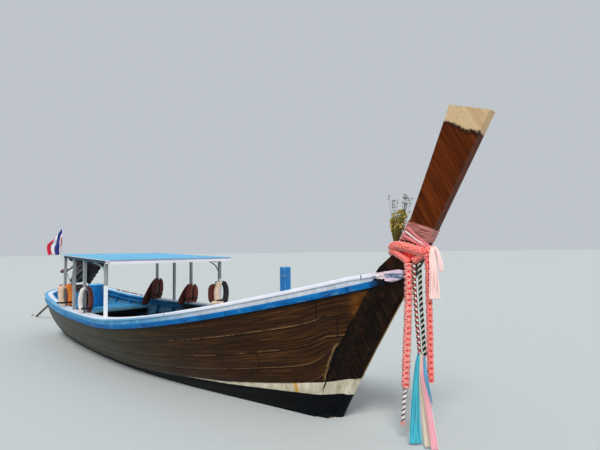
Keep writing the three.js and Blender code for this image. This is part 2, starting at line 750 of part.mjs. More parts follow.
// Life jackets hung on the posts: a back inboard of the post, and two fronts that hang beside it
const JACKETS = [
  { name: "life_jacket_starboard_aft", post: 3, side: -1, low: 896, high: 1352, half: 165, look: look.orange },
  { name: "life_jacket_starboard_front", post: 1, side: -1, low: 890, high: 1385, half: 165, look: look.cream },
  { name: "life_jacket_port_aft", post: 3, side: 1, low: 896, high: 1372, half: 160, look: look.brownRed },
  { name: "life_jacket_port_middle", post: 1, side: 1, low: 890, high: 1290, half: 165, look: look.brownRed },
  { name: "life_jacket_port_front", post: 0, side: 1, low: 900, high: 1392, half: 185, look: look.cream },
];
const JACKET = { back: 125, front: 70, neck: 85, shoulder: 120 };
for (const { name, post, side, low, high, half, look: cloth } of JACKETS) {
  const { x, half: postHalf } = POSTS[post];
  const inner = postY(x) - postHalf - GAP;
  const slot = postHalf + 6;
  const plan = [
    [-half, inner - JACKET.back],
    [half, inner - JACKET.back],
    [half, inner + 2 * postHalf + JACKET.front],
    [slot, inner + 2 * postHalf + JACKET.front],
    [slot, inner],
    [-slot, inner],
    [-slot, inner + 2 * postHalf + JACKET.front],
    [-half, inner + 2 * postHalf + JACKET.front],
  ];
  const shape = new THREE.Shape(plan.map(([px, py]) => new THREE.Vector2(x + px, side * py)));
  const foot = Math.max(low, capTop(x + half) + 4, capTop(x - half) + 4);
  const body = new THREE.ExtrudeGeometry(shape, { depth: high - JACKET.shoulder - foot, bevelEnabled: false });
  const [a, b] = [side * (inner - JACKET.back), side * inner].sort((p, q) => p - q);
  const neck = box([x - JACKET.neck, a, high - JACKET.shoulder - 5], [x + JACKET.neck, b, high]);
  put(name, joined(body.translate(0, 0, foot), neck), cloth);
}

// Cloth, garlands, cords and ribbons hung on the stem

// A round cord through points
function cord(points, radius, sides = 8, pieces = 40) {
  const curve = new THREE.CatmullRomCurve3(points.map((p) => new THREE.Vector3(...p)), false, "catmullrom", 0.5);
  const ring = range(sides).map((i) => {
    const a = (2 * Math.PI * i) / sides;
    return new THREE.Vector2(radius * Math.cos(a), radius * Math.sin(a));
  });
  return new THREE.ExtrudeGeometry(new THREE.Shape(ring), { extrudePath: curve, steps: pieces, bevelEnabled: false });
}
// A ribbon through points that each have a width; its face is turned to starboard of the bow
function ribbon(points, thick = 6) {
  const across = new THREE.Vector3(0.707, 0.707, 0);
  const normal = new THREE.Vector3(0.707, -0.707, 0).multiplyScalar(thick / 2);
  const corners = [
    [-1, 1],
    [1, 1],
    [1, -1],
    [-1, -1],
  ];
  return beam(
    points.map(([x, y, z, wide]) =>
      corners.map(([u, v]) =>
        new THREE.Vector3(x, y, z).addScaledVector(across, (u * wide) / 2).addScaledVector(normal, v).toArray(),
      ),
    ),
  );
}

// The stem plate's back edge
function stemBack(z) {
  for (const i of range(STEM_BACK.length - 1)) {
    const [x0, z0] = STEM_BACK[i];
    const [x1, z1] = STEM_BACK[i + 1];
    if (z <= z0 && z >= z1) return lerp(x1, x0, (z - z1) / (z0 - z1));
  }
  return STEM_BACK[0][0];
}
// A band round the stem, from an outline in the XZ plane that reaches past the stem on both edges
function roundStem(outline, thick) {
  const zs = outline.map(([, z]) => z);
  const [low, high] = [Math.min(...zs) - 20, Math.max(...zs) + 20];
  const bends = STEM_BACK.map(([, z]) => z).filter((z) => z > low && z < high);
  const back = [low, ...bends.sort((a, b) => a - b), high].map((z) => [stemBack(z) - SEAT, z]);
  const core = plateXZ([...back, [stemFront(high) + SEAT, high], [stemFront(low) + SEAT, low]], 2 * (STEM_HALF + 0.8));
  return cut(plateXZ(outline, 2 * (STEM_HALF + 0.8 + thick)), core);
}
const WRAP = 12;
put(
  "stem_wrap",
  roundStem(
    [
      [stemBack(2092) - WRAP, 2092],
      [stemBack(2303) - WRAP, 2303],
      [stemFront(2165) + WRAP, 2165],
      [stemFront(2040) + WRAP, 2040],
    ],
    WRAP,
  ),
  look.palePink,
);
const LOOP = { low: 1842, frontLow: 1935, front: 5465, thick: 52 };
put(
  "garland_loop",
  roundStem(
    [
      [stemBack(1925) - 46, 1925],
      [stemBack(2040) - 46, 2040],
      [5120, 2068],
      [5300, 2040],
      [LOOP.front, 2010],
      [LOOP.front, LOOP.frontLow],
      [5402, LOOP.frontLow],
      [5376, LOOP.low],
      [5168, LOOP.low],
    ],
    LOOP.thick,
  ),
  look.coral,
);

// Two garlands and two braided cords hang from the loop, and ribbons hang from the ends of the cords
const GARLAND = 38;
const BRAID = 14;
const hangFrom = LOOP.low - GAP;
const garlandEnd = cord(
  [
    [5155, -100, 572],
    [5142, -101, 450],
    [5126, -102, 300],
    [5116, -102, 190],
  ],
  BRAID,
  8,
  6,
);
const garlandAft = cord(
  [
    [5222, -100, hangFrom],
    [5222, -100, 1595],
    [5202, -100, 1244],
    [5177, -100, 892],
    [5155, -100, 559],
  ],
  GARLAND,
  8,
  14,
);
put("garland_aft", joined(garlandAft, garlandEnd), look.coral);
put(
  "garland_front",
  cord(
    [
      [5446, -100, LOOP.frontLow - GAP],
      [5446, -100, 1890],
      [5456, -100, 1760],
      [5452, -100, 1606],
      [5452, -100, 1336],
      [5450, -100, 1101],
      [5446, -100, 668],
    ],
    GARLAND,
    8,
    14,
  ),
  look.coral,
);
put(
  "stem_rope_aft",
  cord(
    [
      [5288, -100, hangFrom],
      [5290, -100, 1700],
      [5298, -100, 1460],
      [5310, -100, 1220],
      [5331, -100, 933],
    ],
    BRAID,
    8,
    14,
  ),
  look.cordWhite,
);
put(
  "stem_rope_front",
  cord(
    [
      [5357, -100, hangFrom],
      [5357, -100, 1700],
      [5360, -100, 1465],
      [5372, -100, 1210],
      [5388, -100, 925],
    ],
    BRAID,
    8,
    14,
  ),
  look.cordWhite,
);
const RIBBONS = [
  {
    name: "ribbon_turquoise",
    look: look.turquoise,
    path: [
      [5320, -103, 931.5, 24],
      [5303, -104, 820, 56],
      [5275, -106, 566, 78],
      [5262, -108, 20, 118],
    ],
  },
  {
    name: "ribbon_cream",
    look: look.cream,
    path: [
      [5342, -92, 932.8, 20],
      [5347, -95, 760, 42],
      [5352, -97, 560, 45],
      [5388, -98, 24, 48],
    ],
  },
  {
    name: "ribbon_pink",
    look: look.palePink,
    path: [
      [5388, -100, 923.9, 26],
      [5396, -158, 800, 38],
      [5410, -165, 690, 45],
      [5434, -150, 516, 50],
      [5487, -128, 30, 50],
    ],
  },
  {
    name: "ribbon_pale",
    look: look.palePink,
    path: [
      [5492.2, -22, 2005, 70],
      [5506, -22, 1760, 90],
      [5509, -22, 1490, 95],
    ],
  },
];
for (const { name, look: cloth, path } of RIBBONS) put(name, ribbon(path), cloth);
put("flower_bunch", bar([5022, 0, 2053.4], [5112, 0, 2575], 34, 9, 88), look.straw);

// Engine pedestal on the stern platform, and the yoke that swivels on it
const SWIVEL_X = -4650;
const PEDESTAL = { half: 95, wide: 120, low: PLATFORM_TOP + GAP, top: 1130 };
const PIN = { radius: 20, play: 0.8, low: 1030 };
put(
  "engine_pedestal",
  cut(
    box([SWIVEL_X - PEDESTAL.half, -PEDESTAL.wide, PEDESTAL.low], [SWIVEL_X + PEDESTAL.half, PEDESTAL.wide, PEDESTAL.top]),
    bar([SWIVEL_X, 0, PEDESTAL.low - 10], [SWIVEL_X, 0, PEDESTAL.top + 10], PIN.radius + PIN.play, 32),
  ),
  look.hullWood,
);
const TRUNNION = { z: 1360, radius: 15, play: 0.8 };
const CHEEK = { half: 60, inner: 150, thick: 12, top: TRUNNION.z + 60 };
const YOKE_LOW = PEDESTAL.top + GAP;
function cheek(side) {
  const [a, b] = [side * CHEEK.inner, side * (CHEEK.inner + CHEEK.thick)];
  const outline = [
    [SWIVEL_X - CHEEK.half, YOKE_LOW + 25],
    [SWIVEL_X + CHEEK.half, YOKE_LOW + 25],
    [SWIVEL_X + CHEEK.half, TRUNNION.z - 20],
    [SWIVEL_X + 40, TRUNNION.z + 40],
    [SWIVEL_X + 20, CHEEK.top],
    [SWIVEL_X - 20, CHEEK.top],
    [SWIVEL_X - 40, TRUNNION.z + 40],
    [SWIVEL_X - CHEEK.half, TRUNNION.z - 20],
  ];
  return plateXZ(outline, CHEEK.thick, (a + b) / 2);
}
const yokeFloor = box(
  [SWIVEL_X - CHEEK.half, -CHEEK.inner - CHEEK.thick, YOKE_LOW + 20],
  [SWIVEL_X + CHEEK.half, CHEEK.inner + CHEEK.thick, YOKE_LOW + 38],
);
const trunnionHole = bar([SWIVEL_X, -200, TRUNNION.z], [SWIVEL_X, 200, TRUNNION.z], TRUNNION.radius + TRUNNION.play, 24);
put(
  "engine_yoke",
  cut(
    joined(
      bar([SWIVEL_X, 0, YOKE_LOW], [SWIVEL_X, 0, YOKE_LOW + 22], 92, 32),
      bar([SWIVEL_X, 0, PIN.low], [SWIVEL_X, 0, YOKE_LOW + 5], PIN.radius, 32),
      yokeFloor,
      cheek(1),
      cheek(-1),
    ),
    trunnionHole,
  ),
  look.iron,
);

// Engine, cradle and tail, in the engine's own frame: origin on the tilt axis, +X along the shaft to the bow
const REST_TILT = THREE.MathUtils.degToRad(20); // nose up, so that the propeller is in the water
const engine = new THREE.Group();
engine.position.set(SWIVEL_X, 0, TRUNNION.z);
engine.rotation.y = -REST_TILT;
boat.add(engine);
const onEngine = (name, geometry, material) => put(name, geometry, material, engine);

const CRADLE = { aft: -300, front: 710, inner: 90, outer: 140, half: 30 };
const SHAFT = { radius: 12, play: 0.4, room: 24 };
const rail = (side) => {
  const [a, b] = [side * CRADLE.inner, side * CRADLE.outer].sort((p, q) => p - q);
  return box([CRADLE.aft, a, -CRADLE.half], [CRADLE.front, b, CRADLE.half]);
};
const crossMember = (from, to) => box([from, -CRADLE.outer, -CRADLE.half], [to, CRADLE.outer, CRADLE.half]);
onEngine(
  "engine_cradle",
  cut(
    joined(
      rail(1),
      rail(-1),
      crossMember(CRADLE.aft, CRADLE.aft + 45),
      crossMember(CRADLE.front - 45, CRADLE.front),
      bar([0, CRADLE.outer - 10, 0], [0, 172, 0], TRUNNION.radius, 24),
      bar([0, 10 - CRADLE.outer, 0], [0, -172, 0], TRUNNION.radius, 24),
    ),
    bar([CRADLE.aft - 10, 0, 0], [CRADLE.aft + 60, 0, 0], SHAFT.room, 20),
  ),
  look.iron,
);

const BLOCK = { aft: -50, front: 600, top: 210 };
const mirrored = (half) => [...half, ...half.map(([y, z]) => [-y, z]).reverse()];
const crankcase = plateYZ(
  mirrored([
    [62, -130],
    [74, -118],
    [80, -55],
    [87, -50],
    [87, 55],
    [100, 70],
    [100, BLOCK.top],
  ]),
  BLOCK.front - BLOCK.aft,
  BLOCK.aft,
);
const CYLINDERS = [70, 210, 350, 490];
const lugs = [90, 500].flatMap((x) => [
  box([x - 30, 80, CRADLE.half + GAP], [x + 30, CRADLE.outer - 4, CRADLE.half + 22]),
  box([x - 30, 4 - CRADLE.outer, CRADLE.half + GAP], [x + 30, -80, CRADLE.half + 22]),
]);
const corePlugs = CYLINDERS.flatMap((x) => [
  bar([x, 90, 140], [x, 105, 140], 21, 12),
  bar([x, -90, 140], [x, -105, 140], 21, 12),
]);
const BELL = { aft: -176, radius: 84 };
const starter = [bar([-60, -114, 120], [110, -114, 120], 33, 14), bar([-30, -127, 165], [70, -127, 165], 17, 10)];
const fuelPump = [
  box([330, -146, 96], [450, -98, 150]),
  bar([440, -119, 124], [585, -119, 124], 23, 12),
];
const oilFilter = [bar([190, 98, 95], [190, 172, 95], 36, 16)];
onEngine(
  "engine_block",
  joined(
    crankcase,
    bar([BELL.aft, 0, 0], [BLOCK.aft + 8, 0, 0], BELL.radius - 22, 20, BELL.radius),
    ...lugs,
    ...corePlugs,
    ...starter,
    ...fuelPump,
    ...oilFilter,
  ),
  look.iron,
);
const HEAD_TOP = 292;
const rocker = mirrored([
  [72, HEAD_TOP - 8],
  [72, HEAD_TOP + 22],
  [56, HEAD_TOP + 52],
]);
onEngine(
  "cylinder_head",
  joined(
    box([-40, -96, BLOCK.top + GAP], [590, 96, HEAD_TOP]),
    plateYZ(rocker, 590, -20),
    ...CYLINDERS.map((x) => bar([x + 40, -90, 262], [x + 40, -122, 276], 11, 8)),
    ...[40, 180, 320, 460].map((x) => box([x - 8, -60, HEAD_TOP + 40], [x + 8, 60, HEAD_TOP + 58])),
    bar([535, 0, HEAD_TOP + 40], [535, 0, HEAD_TOP + 74], 24, 14),
  ),
  look.steel,
);
onEngine(
  "air_intake",
  joined(
    ...CYLINDERS.map((x) => bar([x, 96 + GAP, 250], [x, 165, 250], 19, 10)),
    bar([50, 165, 250], [510, 165, 250], 22, 12),
    bar([280, 165, 255], [280, 165, 345], 30, 12),
    bar([280, 165, 340], [280, 165, 398], 96, 24),
    bar([280, 165, 390], [280, 165, 412], 14, 10),
  ),
  look.iron,
);
onEngine(
  "exhaust",
  joined(
    ...CYLINDERS.map((x) => bar([x, -96 - GAP, 250], [x, -165, 250], 19, 10)),
    bar([48, -168, 250], [512, -168, 250], 26, 12),
    cord(
      [
        [60, -168, 250],
        [-60, -170, 254],
        [-200, -176, 280],
        [-330, -180, 310],
      ],
      22,
      10,
      8,
    ),
    bar([-310, -180, 304], [-640, -184, 380], 48, 16),
    bar([-620, -184, 375], [-760, -186, 408], 20, 12),
  ),
  look.rust,
);
const DRIVE = { x: 606, wide: 24 };
const PULLEYS = [
  { y: 0, z: 0, radius: 40 },
  { y: 0, z: 178, radius: 52 },
  { y: 150, z: 178, radius: 36 },
];
const disc = ({ y, z, radius }, from, to) => bar([from, y, z], [to, y, z], radius, 16);
// The belt's outline is the hull of the pulleys' rims
function beltOutline(extra) {
  const rim = PULLEYS.flatMap(({ y, z, radius }) =>
    range(16).map((i) => {
      const a = (2 * Math.PI * (i + 0.5)) / 16;
      return [y + (radius + extra) * Math.cos(a), z + (radius + extra) * Math.sin(a)];
    }),
  );
  const turnOf = (o, a, b) => (a[0] - o[0]) * (b[1] - o[1]) - (a[1] - o[1]) * (b[0] - o[0]);
  const sorted = [...rim].sort((p, q) => p[0] - q[0] || p[1] - q[1]);
  const chain = (list) =>
    list.reduce((kept, p) => {
      while (kept.length > 1 && turnOf(kept.at(-2), kept.at(-1), p) <= 1e-9) kept.pop();
      return [...kept, p];
    }, []);
  return [...chain(sorted).slice(0, -1), ...chain([...sorted].reverse()).slice(0, -1)];
}
onEngine(
  "belt_drive",
  joined(
    cut(plateYZ(beltOutline(7), DRIVE.wide, DRIVE.x), plateYZ(beltOutline(-4), DRIVE.wide + 10, DRIVE.x - 5)),
    ...PULLEYS.map((pulley) => disc(pulley, DRIVE.x + 2, DRIVE.x + DRIVE.wide - 2)),
    disc({ y: 0, z: 0, radius: 26 }, BLOCK.front + GAP, DRIVE.x + 10),
    disc({ y: 0, z: 178, radius: 22 }, BLOCK.front + GAP, DRIVE.x + 44),
  ),
  look.black,
);
onEngine(
  "alternator",
  joined(
    bar([470, 150, 178], [DRIVE.x - 6, 150, 178], 46, 16),
    bar([455, 150, 178], [475, 150, 178], 34, 16),
    box([500, 100 + GAP, 165], [560, 130, 195]),
  ),
  look.steel,
);
onEngine(
  "tiller",
  joined(
    box([CRADLE.front + GAP, -45, -28], [CRADLE.front + 12, 45, 28]),
    cord(
      [
        [CRADLE.front + 9, 0, 0],
        [CRADLE.front + 60, 0, 10],
        [900, 0, 48],
        [1250, 0, 40],
        [1600, 0, -2],
      ],
      19,
      10,
      8,
    ),
    bar([1540, 0, 5], [1700, 0, -14], 24, 12),
  ),
  look.steel,
);

const TAIL = { front: CRADLE.aft - GAP, aft: -4190, radius: 30, room: 23, land: 60 };
const tailLength = TAIL.front - TAIL.aft;
const landRadius = SHAFT.radius + SHAFT.play;
const tailProfile = [
  [landRadius, 0],
  [TAIL.radius, 0],
  [TAIL.radius, tailLength - 12],
  [TAIL.radius + 22, tailLength - 12],
  [TAIL.radius + 22, tailLength],
  [landRadius, tailLength],
  [landRadius, tailLength - TAIL.land],
  [TAIL.room, tailLength - TAIL.land],
  [TAIL.room, TAIL.land],
  [landRadius, TAIL.land],
  [landRadius, 0],
];
const tailTube = new THREE.LatheGeometry(tailProfile.map(([r, h]) => new THREE.Vector2(r, h)), 24)
  .rotateZ(-Math.PI / 2)
  .translate(TAIL.aft, 0, 0);
const skeg = plateXZ(
  [
    [-3760, -26],
    [-4130, -26],
    [-4172, -160],
    [-4120, -172],
  ],
  8,
);
onEngine("tail_tube", joined(tailTube, skeg), look.paleBlue);

const PROPELLER = { x: -4250, hub: 34, radius: 140 };
function blade(turned) {
  const sections = [
    { r: 20, chord: 62, pitch: 0.95, thick: 12 },
    { r: 60, chord: 88, pitch: 0.7, thick: 9 },
    { r: 100, chord: 92, pitch: 0.52, thick: 7 },
    { r: PROPELLER.radius, chord: 48, pitch: 0.42, thick: 5 },
  ];
  const rings = sections.map(({ r, chord, pitch, thick }) => {
    const [c, s] = [Math.cos(pitch), Math.sin(pitch)];
    return [
      [-1, 1],
      [1, 1],
      [1, -1],
      [-1, -1],
    ].map(([u, v]) => [
      PROPELLER.x + (u * chord * s) / 2 + (v * thick * c) / 2,
      (u * chord * c) / 2 - (v * thick * s) / 2,
      r,
    ]);
  });
  return beam(rings).rotateX(turned);
}
onEngine(
  "propeller_shaft",
  joined(
    bar([-188, 0, 0], [PROPELLER.x - 20, 0, 0], SHAFT.radius, 24),
    bar([-206, 0, 0], [-188, 0, 0], 46, 24),
    bar([PROPELLER.x + 46, 0, 0], [PROPELLER.x - 46, 0, 0], PROPELLER.hub - 4, 24, PROPELLER.hub),
    bar([PROPELLER.x - 46, 0, 0], [PROPELLER.x - 92, 0, 0], 22, 16, 8),
    blade(0.35),
    blade(0.35 + Math.PI),
  ),
  look.bronze,
);

export default boat;
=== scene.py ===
import json
import math
import random

import bmesh
import bpy
import numpy as np
from mathutils import Matrix, Vector, noise
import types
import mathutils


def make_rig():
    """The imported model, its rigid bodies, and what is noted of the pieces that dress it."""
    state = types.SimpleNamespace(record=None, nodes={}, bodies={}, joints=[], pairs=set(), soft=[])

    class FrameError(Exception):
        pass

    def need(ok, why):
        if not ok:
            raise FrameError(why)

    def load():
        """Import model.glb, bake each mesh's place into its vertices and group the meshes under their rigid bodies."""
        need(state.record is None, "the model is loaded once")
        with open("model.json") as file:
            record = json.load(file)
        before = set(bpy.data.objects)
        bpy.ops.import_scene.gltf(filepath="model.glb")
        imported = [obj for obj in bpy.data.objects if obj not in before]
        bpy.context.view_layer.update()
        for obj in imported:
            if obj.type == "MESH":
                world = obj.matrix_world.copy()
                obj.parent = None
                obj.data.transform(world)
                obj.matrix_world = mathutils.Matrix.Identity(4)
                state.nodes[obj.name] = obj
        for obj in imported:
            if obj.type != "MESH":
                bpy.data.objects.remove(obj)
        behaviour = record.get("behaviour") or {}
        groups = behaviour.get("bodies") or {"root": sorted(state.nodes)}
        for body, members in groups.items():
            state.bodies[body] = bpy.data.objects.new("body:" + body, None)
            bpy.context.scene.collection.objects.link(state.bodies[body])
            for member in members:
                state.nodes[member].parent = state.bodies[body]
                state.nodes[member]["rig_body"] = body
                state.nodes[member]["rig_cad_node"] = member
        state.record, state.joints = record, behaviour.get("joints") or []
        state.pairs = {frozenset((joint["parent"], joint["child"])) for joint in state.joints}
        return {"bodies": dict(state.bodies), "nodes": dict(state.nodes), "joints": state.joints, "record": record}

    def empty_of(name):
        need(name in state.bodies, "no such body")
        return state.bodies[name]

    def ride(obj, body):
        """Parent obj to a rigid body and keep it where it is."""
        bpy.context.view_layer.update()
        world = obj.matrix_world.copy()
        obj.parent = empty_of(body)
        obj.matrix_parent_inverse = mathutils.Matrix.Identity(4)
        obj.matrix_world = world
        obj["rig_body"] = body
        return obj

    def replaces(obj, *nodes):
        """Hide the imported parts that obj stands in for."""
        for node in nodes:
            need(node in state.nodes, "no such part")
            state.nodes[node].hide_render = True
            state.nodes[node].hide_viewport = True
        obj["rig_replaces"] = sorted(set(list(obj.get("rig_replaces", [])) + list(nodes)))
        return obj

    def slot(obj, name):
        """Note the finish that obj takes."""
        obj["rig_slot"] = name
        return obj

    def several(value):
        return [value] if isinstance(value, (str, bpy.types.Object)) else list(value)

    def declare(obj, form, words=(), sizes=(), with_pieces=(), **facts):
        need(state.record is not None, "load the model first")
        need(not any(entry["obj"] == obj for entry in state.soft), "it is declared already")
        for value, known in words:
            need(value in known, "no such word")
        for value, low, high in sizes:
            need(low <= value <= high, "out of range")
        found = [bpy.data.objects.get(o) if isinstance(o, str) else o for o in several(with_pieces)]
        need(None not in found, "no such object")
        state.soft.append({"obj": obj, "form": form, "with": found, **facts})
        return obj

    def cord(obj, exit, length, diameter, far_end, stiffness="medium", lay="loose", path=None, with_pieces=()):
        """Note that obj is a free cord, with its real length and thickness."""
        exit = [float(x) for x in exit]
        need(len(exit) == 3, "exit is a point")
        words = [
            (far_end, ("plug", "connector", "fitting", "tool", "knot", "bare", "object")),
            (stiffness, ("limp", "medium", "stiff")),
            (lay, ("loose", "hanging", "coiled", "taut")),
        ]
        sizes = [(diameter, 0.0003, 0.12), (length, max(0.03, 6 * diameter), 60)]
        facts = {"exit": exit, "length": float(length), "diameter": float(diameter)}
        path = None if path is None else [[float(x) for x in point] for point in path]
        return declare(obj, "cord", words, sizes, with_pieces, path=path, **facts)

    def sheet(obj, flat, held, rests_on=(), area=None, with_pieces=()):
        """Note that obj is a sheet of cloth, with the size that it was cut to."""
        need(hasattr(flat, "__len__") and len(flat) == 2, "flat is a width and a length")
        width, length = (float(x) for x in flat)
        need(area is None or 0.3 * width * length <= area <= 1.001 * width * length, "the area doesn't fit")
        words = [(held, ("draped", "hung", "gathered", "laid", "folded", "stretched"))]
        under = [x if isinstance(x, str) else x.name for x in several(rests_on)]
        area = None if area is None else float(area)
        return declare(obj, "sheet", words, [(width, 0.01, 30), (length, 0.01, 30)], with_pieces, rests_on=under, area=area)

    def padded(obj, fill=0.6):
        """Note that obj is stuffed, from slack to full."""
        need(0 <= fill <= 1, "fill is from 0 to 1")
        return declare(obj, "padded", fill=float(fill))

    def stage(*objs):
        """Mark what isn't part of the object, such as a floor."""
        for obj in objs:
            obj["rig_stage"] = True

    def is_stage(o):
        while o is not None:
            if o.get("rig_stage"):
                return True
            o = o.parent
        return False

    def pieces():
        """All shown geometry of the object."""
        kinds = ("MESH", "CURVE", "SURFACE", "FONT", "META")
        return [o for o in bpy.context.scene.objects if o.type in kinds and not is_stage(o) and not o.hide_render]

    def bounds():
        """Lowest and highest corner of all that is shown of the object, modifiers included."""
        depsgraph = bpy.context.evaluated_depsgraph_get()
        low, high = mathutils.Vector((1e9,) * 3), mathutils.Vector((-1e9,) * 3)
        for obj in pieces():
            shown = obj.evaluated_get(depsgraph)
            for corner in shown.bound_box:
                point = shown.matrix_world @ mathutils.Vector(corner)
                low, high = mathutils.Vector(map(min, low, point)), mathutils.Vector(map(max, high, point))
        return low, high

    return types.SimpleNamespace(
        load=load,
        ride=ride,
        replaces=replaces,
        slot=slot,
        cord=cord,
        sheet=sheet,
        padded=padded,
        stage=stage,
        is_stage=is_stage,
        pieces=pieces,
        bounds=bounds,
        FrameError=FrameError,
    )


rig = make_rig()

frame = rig.load()
nodes = frame["nodes"]
cad_low, cad_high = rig.bounds()

# Camera: at the shore, off the starboard bow, a little above the gunwale's height at the stem

CAMERA_AT = Vector((7.801, -4.225, 1.987))
CAMERA_FLAT = Vector((-0.711, 0.703, 0)).normalized()
CAMERA_PITCH = math.radians(3.2)
CAMERA_ROLL = math.radians(0.68)
CAMERA_LENS = 27.198


def make_camera():
    data = bpy.data.cameras.new("camera")
    data.lens = CAMERA_LENS
    data.sensor_width = 36
    data.clip_end = 500
    camera = bpy.data.objects.new("camera", data)
    bpy.context.scene.collection.objects.link(camera)
    forward = CAMERA_FLAT * math.cos(CAMERA_PITCH) + Vector((0, 0, math.sin(CAMERA_PITCH)))
    right = forward.cross(Vector((0, 0, 1))).normalized()
    up = right.cross(forward)
    turned_right = right * math.cos(CAMERA_ROLL) - up * math.sin(CAMERA_ROLL)
    turned_up = up * math.cos(CAMERA_ROLL) + right * math.sin(CAMERA_ROLL)
    turn = Matrix((turned_right, turned_up, -forward)).transposed()
    camera.matrix_world = Matrix.Translation(CAMERA_AT) @ turn.to_4x4()
    bpy.context.scene.camera = camera


make_camera()

# Materials


class Value:
    """A number that a material's nodes work out. Arithmetic with it adds the nodes for the result."""

    def __init__(self, look, socket):
        self.look = look
        self.socket = socket

    def __add__(self, other):
        return self.look.sum("ADD", self, other)

    def __radd__(self, other):
        return self.look.sum("ADD", other, self)

    def __sub__(self, other):
        return self.look.sum("SUBTRACT", self, other)

    def __rsub__(self, other):
        return self.look.sum("SUBTRACT", other, self)

    def __mul__(self, other):
        return self.look.sum("MULTIPLY", self, other)

    def __truediv__(self, other):
        return self.look.sum("DIVIDE", self, other)

    def __abs__(self):
        return self.look.sum("ABSOLUTE", self)


class Look:
    """A material, with short names for making its nodes."""

    def __init__(self, name, roughness=0.6, metallic=0.0, sheen=0.0, specular=0.5):
        self.material = bpy.data.materials.new(name)
        self.material.use_nodes = True
        self.nodes = self.material.node_tree.nodes
        self.links = self.material.node_tree.links
        self.shader = self.nodes["Principled BSDF"]
        constants = {"Roughness": roughness, "Metallic": metallic, "Sheen Weight": sheen}
        constants["Specular IOR Level"] = specular
        for key, value in constants.items():
            self.shader.inputs[key].default_value = value
        self.place = self.node("TexCoord", "Object")

    def put(self, socket, value):
        if isinstance(value, Value):
            value = value.socket
        if isinstance(value, bpy.types.NodeSocket):
            self.links.new(value, socket)
        elif hasattr(value, "__len__") and socket.type == "RGBA" and len(value) == 3:
            socket.default_value = (*value, 1)
        else:
            socket.default_value = value

    def node(self, kind, output, inputs=(), **settings):
        """Adds a node with its settings, fills its inputs from (key, value) pairs, and gives one output."""
        made = self.nodes.new("ShaderNode" + kind)
        for name, value in settings.items():
            setattr(made, name, value)
        for key, value in inputs:
            self.put(made.inputs[key], value)
        return made.outputs[output]

    def layer(self, name):
        return self.parts(self.node("UVMap", "UV", uv_map=name))

    def parts(self, vector):
        split = self.node("SeparateXYZ", 0, [(0, vector)]).node
        return [Value(self, output) for output in split.outputs]

    def joined(self, x, y, z):
        return self.node("CombineXYZ", 0, enumerate((x, y, z)))

    def stretched(self, scale, turn=(0, 0, 0)):
        """The place on the object, turned and stretched."""
        return self.node("Mapping", 0, [("Vector", self.place), ("Scale", scale), ("Rotation", turn)])

    def noise(self, scale, detail=4.0, rough=0.55, bend=0.0, at=None, stretch=None, turn=(0, 0, 0)):
        """Noise over the object's own place, over that place stretched, or over another vector."""
        if stretch:
            at = self.stretched(stretch, turn)
        inputs = [("Vector", self.place if at is None else at), ("Scale", scale), ("Detail", detail)]
        inputs += [("Roughness", rough), ("Distortion", bend)]
        return Value(self, self.node("TexNoise", "Fac", inputs))

    def chance(self, value):
        """A random number from 0 to 1, the same wherever the value is the same."""
        return Value(self, self.node("TexWhiteNoise", "Value", [("W", value)], noise_dimensions="1D"))

    def sum(self, kind, a, b=0.0):
        return Value(self, self.node("Math", 0, [(0, a), (1, b)], operation=kind))

    def rise(self, value, low, high):
        """0 below low, 1 above high, smooth between them."""
        inputs = [("Value", value), ("From Min", low), ("From Max", high)]
        return Value(self, self.node("MapRange", "Result", inputs, interpolation_type="SMOOTHSTEP"))

    def fall(self, value, low, high):
        return 1.0 - self.rise(value, low, high)

    def both(self, *masks):
        result = masks[0]
        for mask in masks[1:]:
            result = result * mask
        return result

    def ramp(self, value, *stops):
        colour = self.node("ValToRGB", "Color", [(0, value)])
        line = colour.node.color_ramp
        while len(line.elements) < len(stops):
            line.elements.new(1.0)
        for element, (place, stop) in zip(line.elements, stops):
            element.position = place
            element.color = (*stop, 1)
        return colour

    def mix(self, share, a, b, blend="MIX"):
        return self.node("Mix", 2, [("Factor", share), (6, a), (7, b)], data_type="RGBA", blend_type=blend)

    def shade(self, colour, share, low=0.0, high=1.0):
        """The colour times a grey that goes from low to high as share goes from 0 to 1."""
        grey = self.ramp(share, (0.0, (low,) * 3), (1.0, (high,) * 3))
        return self.mix(1.0, colour, grey, "MULTIPLY")

    def bump(self, height, depth, strength=1.0, under=None):
        inputs = [("Strength", strength), ("Distance", depth), ("Height", height)]
        if under is not None:
            inputs.append(("Normal", under))
        return self.node("Bump", 0, inputs)

    def finish(self, colour, normal=None, roughness=None, metallic=None):
        given = {"Base Color": colour, "Normal": normal, "Roughness": roughness, "Metallic": metallic}
        for key, value in given.items():
            if value is not None:
                self.put(self.shader.inputs[key], value)
        return self.material


def srgb(red, green, blue):
    """A colour given as 0-255 numbers, in Blender's linear values."""
    return tuple(
        c / 12.92 if c <= 0.04045 else ((c + 0.055) / 1.055) ** 2.4
        for c in (red / 255, green / 255, blue / 255)
    )


NAVY = srgb(3, 6, 12)
WHITE_PAINT = srgb(214, 220, 226)
PALE_BLUE = srgb(62, 152, 200)


